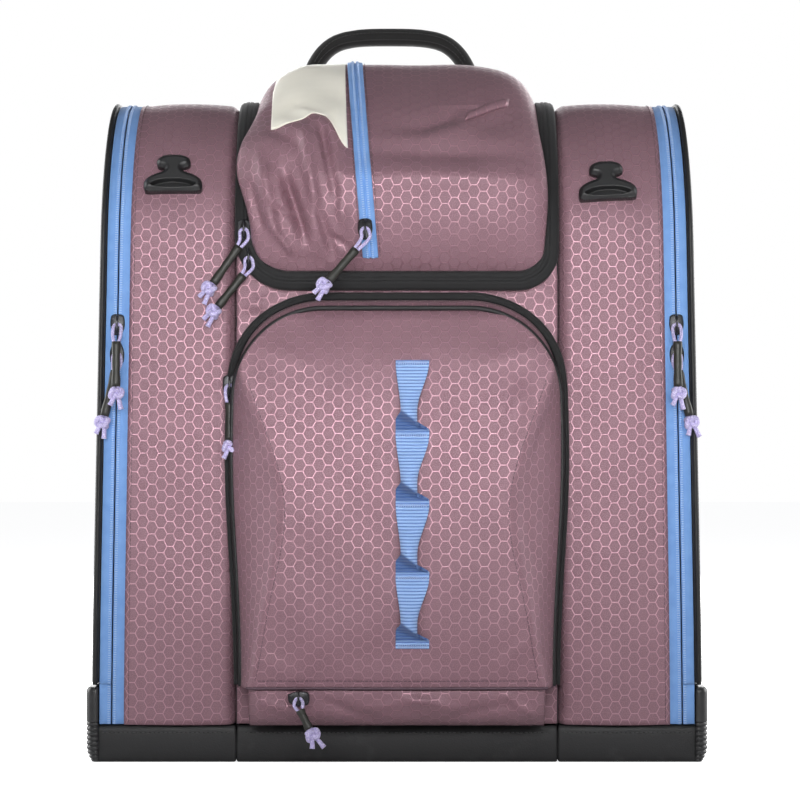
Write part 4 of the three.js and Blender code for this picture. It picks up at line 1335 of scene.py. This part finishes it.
# Soft folds on the pocket: start, end (x, z), width and height, valleys negative.
POCKET_FOLDS = [
    ((88, 196), (112, 262), 6.0, -3.0),
    ((94, 190), (104, 140), 5.0, -2.0),
    ((78, 240), (96, 286), 7.0, 2.0),
    ((-88, 192), (-112, 270), 6.0, -2.2),
    ((-92, 182), (-106, 120), 5.0, -1.6),
    ((-104, 318), (-60, 300), 9.0, 1.6),
    ((60, 302), (106, 316), 9.0, 1.6),
    ((-50, 74), (60, 66), 10.0, 1.8),
    ((70, 70), (102, 100), 6.0, 1.6),
    ((-100, 84), (-70, 66), 6.0, 1.4),
]


def pocket_lift(x, z):
    """How far the pocket's front stands off the back plane, at (x, z)."""
    edge = pocket_edge(z)
    seam = np.minimum(np.interp(z, *SEAM_LINE.T), edge - 1.0)
    front = np.interp(z, *POCKET_DEPTH.T)
    rim = edge_depth(z)
    out = np.clip((edge - np.abs(x)) / np.maximum(edge - seam, 1.0), 0, 1)
    crown = 3.0 * np.cos(np.clip(x / np.maximum(seam, 1), -1, 1) * math.pi / 2)
    crown = crown * smooth(56, 110, z) * (1 - smooth(300, 344, z))
    base = np.where(np.abs(x) < seam, front + crown, rim + (front - rim) * out**0.85)
    groove = 1.3 * bell(np.abs(x) - seam, 0.0, 1.3) * smooth(300, 280, z)
    folds = creases(x, z, POCKET_FOLDS) * np.minimum(out * 1.5, 1)
    shape = base - groove + 0.8 * relief(x, z, 75.0, 41) * out + folds
    return shape * (0.86 + 0.14 * smooth(0, 9, POCKET_TOP - z))


def pocket_point(x, z, extra=0.0):
    return xyz(x, POCKET_BACK - pocket_lift(x, z) - extra, z)


def add_pocket_cloth():
    t = np.linspace(0, 1, 170)[:, None]
    z = POCKET_FOOT + (POCKET_TOP - POCKET_FOOT) * (1 - (1 - t) ** 1.5)
    points = pocket_point(pocket_edge(z) * np.linspace(-1, 1, 181), z)
    middle = points[:, points.shape[1] // 2, 1:]
    uv = xyz(from_middle(points[..., :2]), run_along(middle)[:, None])
    finished(sheet_mesh("pocket_cloth", points, uv, 1.3), "pocket_front", "ripstop", "front_pocket")


def pocket_rim(count=320):
    """The arch of the pocket's piped edge from the left foot over the top to the right foot, as columns of
    x and z, and its outward direction."""
    shoulder = POCKET_TOP - POCKET_CORNER
    bend = shoulder + POCKET_CORNER * np.sin(np.linspace(0, math.pi / 2, 60))
    z = np.concatenate([np.linspace(POCKET_FOOT, shoulder, 80)[:-1], bend])
    left = xyz(-pocket_edge(z), z)
    flat = xyz(np.linspace(left[-1, 0], -left[-1, 0], 60)[1:-1], POCKET_TOP)
    line = np.concatenate([left, flat, left[::-1] * [-1, 1]])
    runs = run_along(line)
    rim = along_line(line, runs, np.linspace(0, runs[-1], count))
    out = np.gradient(rim, axis=0)
    out = xyz(-out[:, 1], out[:, 0]) / np.linalg.norm(out, axis=1)[:, None]
    return *rim.T[..., None], *out.T[..., None]


def zip_gap(z):
    """How far outside the piped edge the pocket's zip runs: close at the sides, apart over the arch."""
    return 0.6 + 6.6 * smooth(275, 335, z)


def add_pocket_sides():
    """The narrow wall between the zip and the pocket's piped edge, the piping and the hem of the flap."""
    x, z, out_x, out_z = pocket_rim()
    front = POCKET_BACK - edge_depth(z) * 0.99 + 0.2
    back = POCKET_BACK - 0.2
    share = np.linspace(0, 1, 10)
    side = 1 - smooth(275, 335, z)
    bow = (zip_gap(z) - 5.0 * side * bell(z, 235, 85)) * (1 - share) ** 0.8
    bow = bow + np.sin(share * math.pi) * (1 - side) - 0.8
    y = back + (front - back) * share
    uv = xyz(y, np.arange(len(x))[:, None] * 2.0)
    wall = outward(sheet_mesh("pocket_wall", xyz(x + out_x * bow, y, z + out_z * bow), uv, thickness=1.0))
    finished(wall, "pocket_front", "ripstop")
    pipe = loft_mesh("pocket_piping", sweep(xyz(x, front - 0.7, z)[:, 0], circle(1.9, 10), FORWARD))
    finished(pipe, "pocket_front", "tarpaulin", look="piping")
    hem = pocket_point(np.linspace(-112, 112, 90), POCKET_FOOT + 0.4)
    edge = loft_mesh("pocket_flap_hem", sweep(hem, rounded_box(1.8, 1.6, 0.6, 3), FORWARD))
    finished(edge, "pocket_front", "tarpaulin", look="thread")


def add_pocket_stitching():
    z = np.linspace(66, 292, 220)
    for side, label in SIDES:
        path = pocket_point(side * (np.interp(z, *SEAM_LINE.T) - 4.0), z, 0.05)
        add_row(f"pocket_seam_{label}", path, FORWARD, "pocket_front", "ripstop", "thread", size=SEAM_STITCH)
    path = pocket_point(np.linspace(-104, 104, 150), POCKET_FOOT + 6.0, 0.1)
    add_row("pocket_hem_stitching", path, FORWARD, "pocket_front", "ripstop", "thread", size=SEAM_STITCH)


def add_pocket_zip():
    """The black zip round the pocket's arch, flat on the bag: close to the pocket at the sides."""
    x, z, out_x, out_z = pocket_rim(400)
    offsets = zip_gap(z) + [0.0, 0.3, 1.0, 1.6, 2.0, 2.4, 3.0, 3.7, 4.0]
    lifts = np.array([0.4, 1.2, 1.5, 2.2, 1.3, 2.2, 1.5, 1.4, 0.4])
    points = xyz(x + out_x * offsets, FRONT_Y - 0.9 - lifts, z + out_z * offsets)
    strip = outward(sheet_mesh("pocket_zip", points, thickness=1.3))
    finished(strip, "shell", "black_tape", "pocket_zip_tape")
    for k, off in enumerate((1.5, 2.5)):
        off = off + zip_gap(z)
        path = xyz(x + out_x * off, FRONT_Y - 3.1, z + out_z * off)[:, 0]
        name, size = f"pocket_zip_teeth_{k}", (0.95, 0.8, 0.6)
        add_row(name, path, FORWARD, "shell", "black_tape", "black_teeth", 1.9, size, 0.0)


# Slack folds across the strip under the pocket: start, end (x, z), width and height.
STRIP_FOLDS = [
    ((-104, 50), (-60, 38), 4.0, 2.6),
    ((-60, 52), (-10, 34), 4.0, -2.6),
    ((0, 54), (50, 44), 4.0, 2.2),
    ((40, 38), (92, 50), 4.0, -2.4),
    ((80, 56), (106, 36), 3.5, 2.4),
    ((-30, 44), (30, 52), 3.5, 1.6),
]
STRIP_PROFILE = rounded([(-154, 29.2), (-168, 31), (-181, 40), (-187, 52), (-187.5, 58.5)], 3)
STRIP_BACK = -153.0


def add_lower_strip():
    low, high = limits("lower_front_panel")
    x = np.linspace(low[0] + 1, high[0] - 1, 150)
    profile = along_line(STRIP_PROFILE, np.linspace(0, 1, len(STRIP_PROFILE)), np.linspace(0, 1, 40))
    y, z = profile.T[..., None]
    lift = 0.8 * relief(x, z, 40.0, 51) + creases(x, z, STRIP_FOLDS)
    ends = smooth(0, 10, x - x[0]) * smooth(0, 10, x[-1] - x)
    depth = STRIP_BACK + (y - STRIP_BACK) * (0.72 + 0.28 * np.sqrt(ends))
    points = xyz(x, depth - (lift + 0.4) * ends, z)
    strip = sheet_mesh("lower_strip", points, xyz(x, run_along(profile)[:, None]))
    finished(strip, "shell", "ripstop", "lower_front_panel")


# Half the width of the daisy chain, the points across it and the heights of its tacks.
DAISY_HALF = 12.4
DAISY_POINTS = 27
TACKS = np.array([92.8, 143.5, 197.0, 248.6, 302.6])


def daisy_shape(share, s):
    """Half width, cup, standing-off and turned-under share of the strap, part of the way up from one tack to
    the next; shade is painted on the turned-under share. `s` goes across it: each loop narrows slowly
    downwards, then folds back over the tack below."""
    lag = share + 0.085 * s
    narrow = smooth(0.13, 0.27, lag) * (1 - smooth(0.33, 1.02, share))
    tuck = smooth(0.12, 0.27, lag) * (1 - np.clip((share - 0.3) / 0.7, 0, 1)) ** 0.75
    under = smooth(0.03, 0.1, share) * (1 - smooth(0.25, 0.3, lag))
    return DAISY_HALF * (1 - 0.5 * narrow), narrow, tuck, under


def add_daisy_chain():
    """Blue webbing tacked down at five places; between them it cups, stands off and folds over."""
    low, high = limits("daisy_chain")
    middle = (low[0] + high[0]) / 2 + 1.5
    z = np.arange(TACKS[0] - 2.2, TACKS[-1] + 2.2, 0.4)[:, None]
    cell = np.clip(np.searchsorted(TACKS, z) - 1, 0, 3)
    share = np.clip((z - TACKS[cell]) / (TACKS[cell + 1] - TACKS[cell]), 0, 1)
    s = np.linspace(-1, 1, DAISY_POINTS)
    half, narrow, tuck, under = daisy_shape(share, s)
    forward = 6.5 * narrow * np.cos(s * math.pi / 2) ** 0.8
    ribs = 0.42 * np.sin(2 * math.pi * z / 2.4) * (1 - 0.5 * np.abs(s) ** 6)
    lift = np.maximum(1.3 + 7.5 * tuck + forward, 0.9)
    points = xyz(middle + s * half - 2.6 * narrow, POCKET_BACK - pocket_lift(middle, z) - lift - ribs, z)
    strap = sheet_mesh("daisy_webbing", points, xyz(DAISY_HALF * s, z), thickness=1.5)
    # The "fold" layer carries the turned-under share to the material, which paints shade there.
    add_layer(strap, "fold", both_faces(xyz(under, under) / MM))
    finished(strap, "pocket_front", "blue_webbing", "daisy_chain")
    across = np.linspace(-10.8, 10.8, DAISY_POINTS)
    wave = 0.9 * np.where(np.arange(DAISY_POINTS) % 2 == 0, 1, -1)
    for k, tack in enumerate(TACKS):
        path = xyz(middle + across, POCKET_BACK - pocket_lift(middle, tack) - 2.0, tack + wave)
        tube = loft_mesh(f"daisy_tack_{k + 1}", sweep(path, circle(0.5, 6), FORWARD))
        finished(tube, "pocket_front", "blue_webbing", look="blue_thread")


add_pocket_cloth()
add_pocket_sides()
add_pocket_stitching()
add_pocket_zip()
add_lower_strip()
add_daisy_chain()


# ---- moulded hooks ----
# Half the hook's width at each height across the plate.
HOOK_WIDTH = rounded(
    [(-15.8, 18.5), (-15.6, 21.2), (-11.5, 22.3), (-6.8, 21.4), (-2.6, 16.4), (0.2, 8.4), (2.4, 6.4),
     (4.0, 7.0), (4.8, 11.6), (7.6, 12.9), (11.0, 12.4), (14.2, 9.0), (15.4, 0.6)],
    2,
)


def hook_height(u, v):
    """The plate's height: rounded edges, and a curved cord channel under the skirt."""
    side = HOOK_WIDTH[:, ::-1]
    foot = xyz(np.linspace(-1, 1, 41) * HOOK_WIDTH[0, 1], HOOK_WIDTH[0, 0])
    edge = np.concatenate([side, side * [-1, 1], foot])
    gap = np.hypot(u[..., None] - edge[:, 0], v[..., None] - edge[:, 1]).min(axis=-1)
    plate = 7.6 - 3.6 * np.clip(1 - gap / 4.2, 0, 1) ** 2
    across = np.hypot(u / 17.0, (v + 10.4 + 0.004 * u**2) / 3.5)
    channel = 1 - smooth(0.82, 1.06, np.maximum(across, np.abs(u) / 18.5))
    return plate - 5.4 * channel


def add_hook(label, turn):
    """A mushroom-headed lash hook: a moulded plate seated on the boot compartment's skin."""
    low, high = limits(f"{label}_hook")
    x, _, z = (low + high) / 2 + [2.0, 0.0, 0.0]
    run = front_run(z)
    normal = body_up(run)
    upwards = np.array([0.0, normal[2], -normal[1]])
    v = np.linspace(HOOK_WIDTH[0, 0], HOOK_WIDTH[-1, 0], 84)[:, None]
    u = np.interp(v, *HOOK_WIDTH.T) * np.linspace(-1, 1, 71)
    right = u * math.cos(turn) - v * math.sin(turn)
    up = u * math.sin(turn) + v * math.cos(turn)
    seat = xyz(x, *BODY.at(run)) + boot_lift(x, run) * normal
    seat = seat + right[..., None] * [1.0, 0.0, 0.0] + up[..., None] * upwards
    top = seat + hook_height(u, v)[..., None] * normal
    plate = outward(sheet_mesh(f"{label}_hook_plate", top, inner=seat - 3.0 * normal))
    finished(plate, "shell", "moulded", f"{label}_hook")


add_hook("left", 0.0)
add_hook("right", 0.05)


# ---- handle, back pad and shoulder straps ----
CLOTH_FRAMES = 20


def padded_by_cloth(name, loops, pressure, cap, voxel):
    """Makes a closed pad from lofted loops. A short cloth simulation swells it, at most by `cap`."""
    pad = loft_mesh(name, *loops)
    remesh = pad.modifiers.new("remesh", "REMESH")
    remesh.mode = "VOXEL"
    remesh.voxel_size = voxel * MM
    settle(pad)
    rest = vertex_places(pad)
    cloth = pad.modifiers.new("cloth", "CLOTH")
    cloth.settings.use_pressure = True
    cloth.settings.uniform_pressure_force = pressure
    cloth.settings.effector_weights.gravity = 0.0
    cloth.settings.quality = 5
    for number in range(1, CLOTH_FRAMES + 1):
        bpy.context.scene.frame_set(number)
    settle(pad)
    moved = vertex_places(pad) - rest
    far = np.linalg.norm(moved, axis=1, keepdims=True)
    kept = rest + moved * np.minimum(1.0, cap * MM / np.maximum(far, 1e-9))
    pad.data.vertices.foreach_set("co", kept.ravel())
    bpy.context.scene.frame_set(1)
    finer = pad.modifiers.new("finer", "SUBSURF")
    finer.levels = finer.render_levels = 1
    settle(pad)
    pad.data.polygons.foreach_set("use_smooth", [True] * len(pad.data.polygons))
    return pad


def vertex_places(obj):
    co = np.zeros(len(obj.data.vertices) * 3)
    obj.data.vertices.foreach_get("co", co)
    return co.reshape(-1, 3)


def settle(obj):
    """Applies a piece's modifiers to its mesh."""
    bpy.context.view_layer.update()
    graph = bpy.context.evaluated_depsgraph_get()
    mesh = bpy.data.meshes.new_from_object(obj.evaluated_get(graph))
    obj.modifiers.clear()
    obj.data = mesh


def strap_mesh(name, path, width, height, corner, up=BACKWARD, steps=2):
    return loft_mesh(name, sweep(path, rounded_box(width, height, corner, steps), up))


HANDLE_POINTS = 160
GRIP_SPAN = slice(44, 116)


def handle_path():
    low, high = limits("handle_webbing")
    x, y, _ = (low + high) / 2
    top, shoulder = high[2] - 7.0, 548.0
    half = [(71.0, low[2] + 0.5), (71.0, shoulder - 40), (69.0, shoulder), (47.0, top - 6)]
    left, right = ([(x + side * out, y, z) for out, z in half] for side in (-1, 1))
    return spline([*left, (x, y, top), *right[::-1]], HANDLE_POINTS)


def add_handle():
    path = handle_path()
    up = np.cross(np.gradient(path, axis=0), BACKWARD)
    strap = strap_mesh("haul_webbing", path, 14.0, 2.6, 1.0, up)
    finished(strap, "haul_handle", "black_webbing", "handle_webbing")
    middle = path[GRIP_SPAN]
    girth = 0.93 + 0.07 * np.sin(np.linspace(0, 1, len(middle)) * math.pi) ** 0.4
    girth[0] = girth[-1] = 0.8
    up = np.cross(np.gradient(middle, axis=0), BACKWARD)
    loops = sweep(middle, rounded_box(18.0, 14.5, 5.5, 5), up, girth)
    grip = padded_by_cloth("haul_grip", [loops], 3.0, 1.6, 2.6)
    finished(grip, "haul_handle", "black_webbing", "handle_grip")
    for place, rise in (("high", 3.0), ("low", -3.0)):
        name, seam, size = f"haul_grip_seam_{place}", middle[3:-3] + [0.0, -9.3, rise], (2.3, 0.6, 0.7)
        add_row(name, seam, FORWARD, "haul_handle", "black_webbing", "black_thread", size=size)


def shrink(outline, distance):
    """Moves a closed outline inwards along its normals."""
    after, before = np.roll(outline, -1, axis=0), np.roll(outline, 1, axis=0)
    tangent = after - before
    tangent /= np.maximum(np.linalg.norm(tangent, axis=1), 1e-9)[:, None]
    area = (outline[:, 0] * after[:, 1] - after[:, 0] * outline[:, 1]).sum()
    inward = xyz(-tangent[:, 1], tangent[:, 0]) * np.sign(area)
    return outline + inward * distance


def at_depth(outline, y):
    """An (x, z) outline at one depth."""
    return xyz(outline[:, 0], y, outline[:, 1])


def dense_ring(outline, step):
    closed = np.concatenate([outline, outline[:1]])
    runs = run_along(closed)
    return along_line(closed, runs, np.linspace(0, runs[-1], int(runs[-1] / step) + 1)[:-1])


def pad_outline(x0, x1, z0, z1, corner, step):
    ring = rounded_box(x1 - x0, z1 - z0, corner, 8)
    return dense_ring(ring + [(x0 + x1) / 2, (z0 + z1) / 2], step)


def pad_loops(outline, near, far):
    """Loops of a flat pad with rounded edges between two depths."""
    levels = [(near, 3.0), (near + 1.0, 0.9), (near + 2.2, 0.0)]
    levels += [(far - 2.6, 0.0), (far - 1.0, 1.2), (far - 0.2, 4.2)]
    rings = [at_depth(shrink(outline, inset), y) for y, inset in levels]
    middle = outline.mean(axis=0)
    last = shrink(outline, levels[-1][1]) - middle
    return np.array(rings + [at_depth(middle + last * k, far) for k in (0.8, 0.5, 0.2)])


def add_back_pad():
    """A foam back pad in four quilted panels."""
    low, high = limits("back_pad")
    gap = 2.0
    middle = (low[2] + high[2]) / 2
    panels = []
    for x0, x1 in ((low[0] + gap, -gap), (gap, high[0] - gap)):
        for z0, z1 in ((low[2] + gap, middle - gap), (middle + gap, high[2] - gap)):
            outline = pad_outline(x0, x1, z0, z1, 10, 6.0)
            panels.append(pad_loops(outline, low[1] + 0.8, high[1] - 3.0))
    pad = padded_by_cloth("back_padding", panels, 4.0, 3.2, 4.5)
    finished(pad, "shell", "mesh", "back_pad")
    border = pad_outline(low[0], high[0], low[2], high[2], 30, 5.0)
    levels = [(0.2, 0.5), (0.6, 0.0), (2.2, 0.0), (2.6, 0.6)]
    loops = [at_depth(shrink(border, inset), low[1] + y) for y, inset in levels]
    backing = loft_mesh("back_pad_backing", loops)
    finished(backing, "shell", "tarpaulin")


def add_shoulder_strap(side, label):
    low, high = limits(f"{label}_shoulder_strap")
    centre = spline([(42, 436), (52, 390), (68, 320), (78, 262), (80, 238)], 40)
    width = np.interp(np.linspace(0, 1, 40), [0, 0.25, 0.6, 0.88, 1], [27, 29.5, 28, 23.5, 19])
    out = xyz(width, 0.0)
    outline = dense_ring(np.concatenate([centre - out, (centre + out)[::-1]]) * [side, 1], 5.0)
    loops = pad_loops(outline, low[1] + 0.4, high[1] - 2.4)
    pad = padded_by_cloth(f"{label}_strap_padding", [loops], 4.0, 2.6, 4.0)
    finished(pad, "shell", "mesh", f"{label}_shoulder_strap")
    edge = at_depth(np.concatenate([outline, outline[:1]]), (low[1] + high[1]) / 2 - 1)
    finished(strap_mesh(f"{label}_strap_binding", edge, 4.4, 3.0, 1.2, steps=3), "shell", "black_webbing")
    web = at_depth(centre[4:36] * [side, 1], high[1] + 0.6)
    finished(strap_mesh(f"{label}_strap_web", web, 22.0, 1.8, 0.6), "shell", "black_webbing")


def add_strap_hardware(side, label):
    """The ladder lock, a frame with a cross bar, and the lower webbing under it."""
    low, high = limits(f"{label}_ladder_lock")
    x0, x1, z0, z1 = low[0] + 1.5, high[0] - 1.5, low[2] + 1.5, high[2] - 1.5
    corners = np.array([(x0, z0), (x1, z0), (x1, z1), (x0, z1)])
    parts = []
    for a, b in zip(corners, np.roll(corners, -1, axis=0)):
        path = at_depth(np.linspace(a, b, 8), low[1] + 3.0)
        parts.append(sweep(path, rounded_box(3.2, 4.8, 1.2, 3), BACKWARD))
    path = xyz(np.linspace(low[0] + 1, high[0] - 1, 8), low[1] + 3.2, (low[2] + high[2]) / 2 - 1.0)
    parts.append(sweep(path, circle(1.9, 10), BACKWARD))
    lock = loft_mesh(f"{label}_strap_buckle", *parts)
    finished(lock, "shell", "moulded", f"{label}_ladder_lock")
    y = limits(f"{label}_strap_webbing")[0][1] + 1.0
    run = [(80, y, 206), (96, y, 162), (111, y, 116), (124.5, y - 0.2, 71)]
    path = spline(np.array(run) * [side, 1, 1], 60)
    tail = strap_mesh(f"{label}_strap_tail", path, 24.0, 1.7, 0.6)
    finished(tail, "shell", "black_webbing", f"{label}_strap_webbing")


add_handle()
add_back_pad()
for side_sign, side_label in SIDES:
    add_shoulder_strap(side_sign, side_label)
    add_strap_hardware(side_sign, side_label)

# ---- the stiffener board keeps its CAD shape and gets its material ----
board = frame["nodes"]["floor_board"]
board.data.materials.clear()
board.data.materials.append(LOOKS["board"])
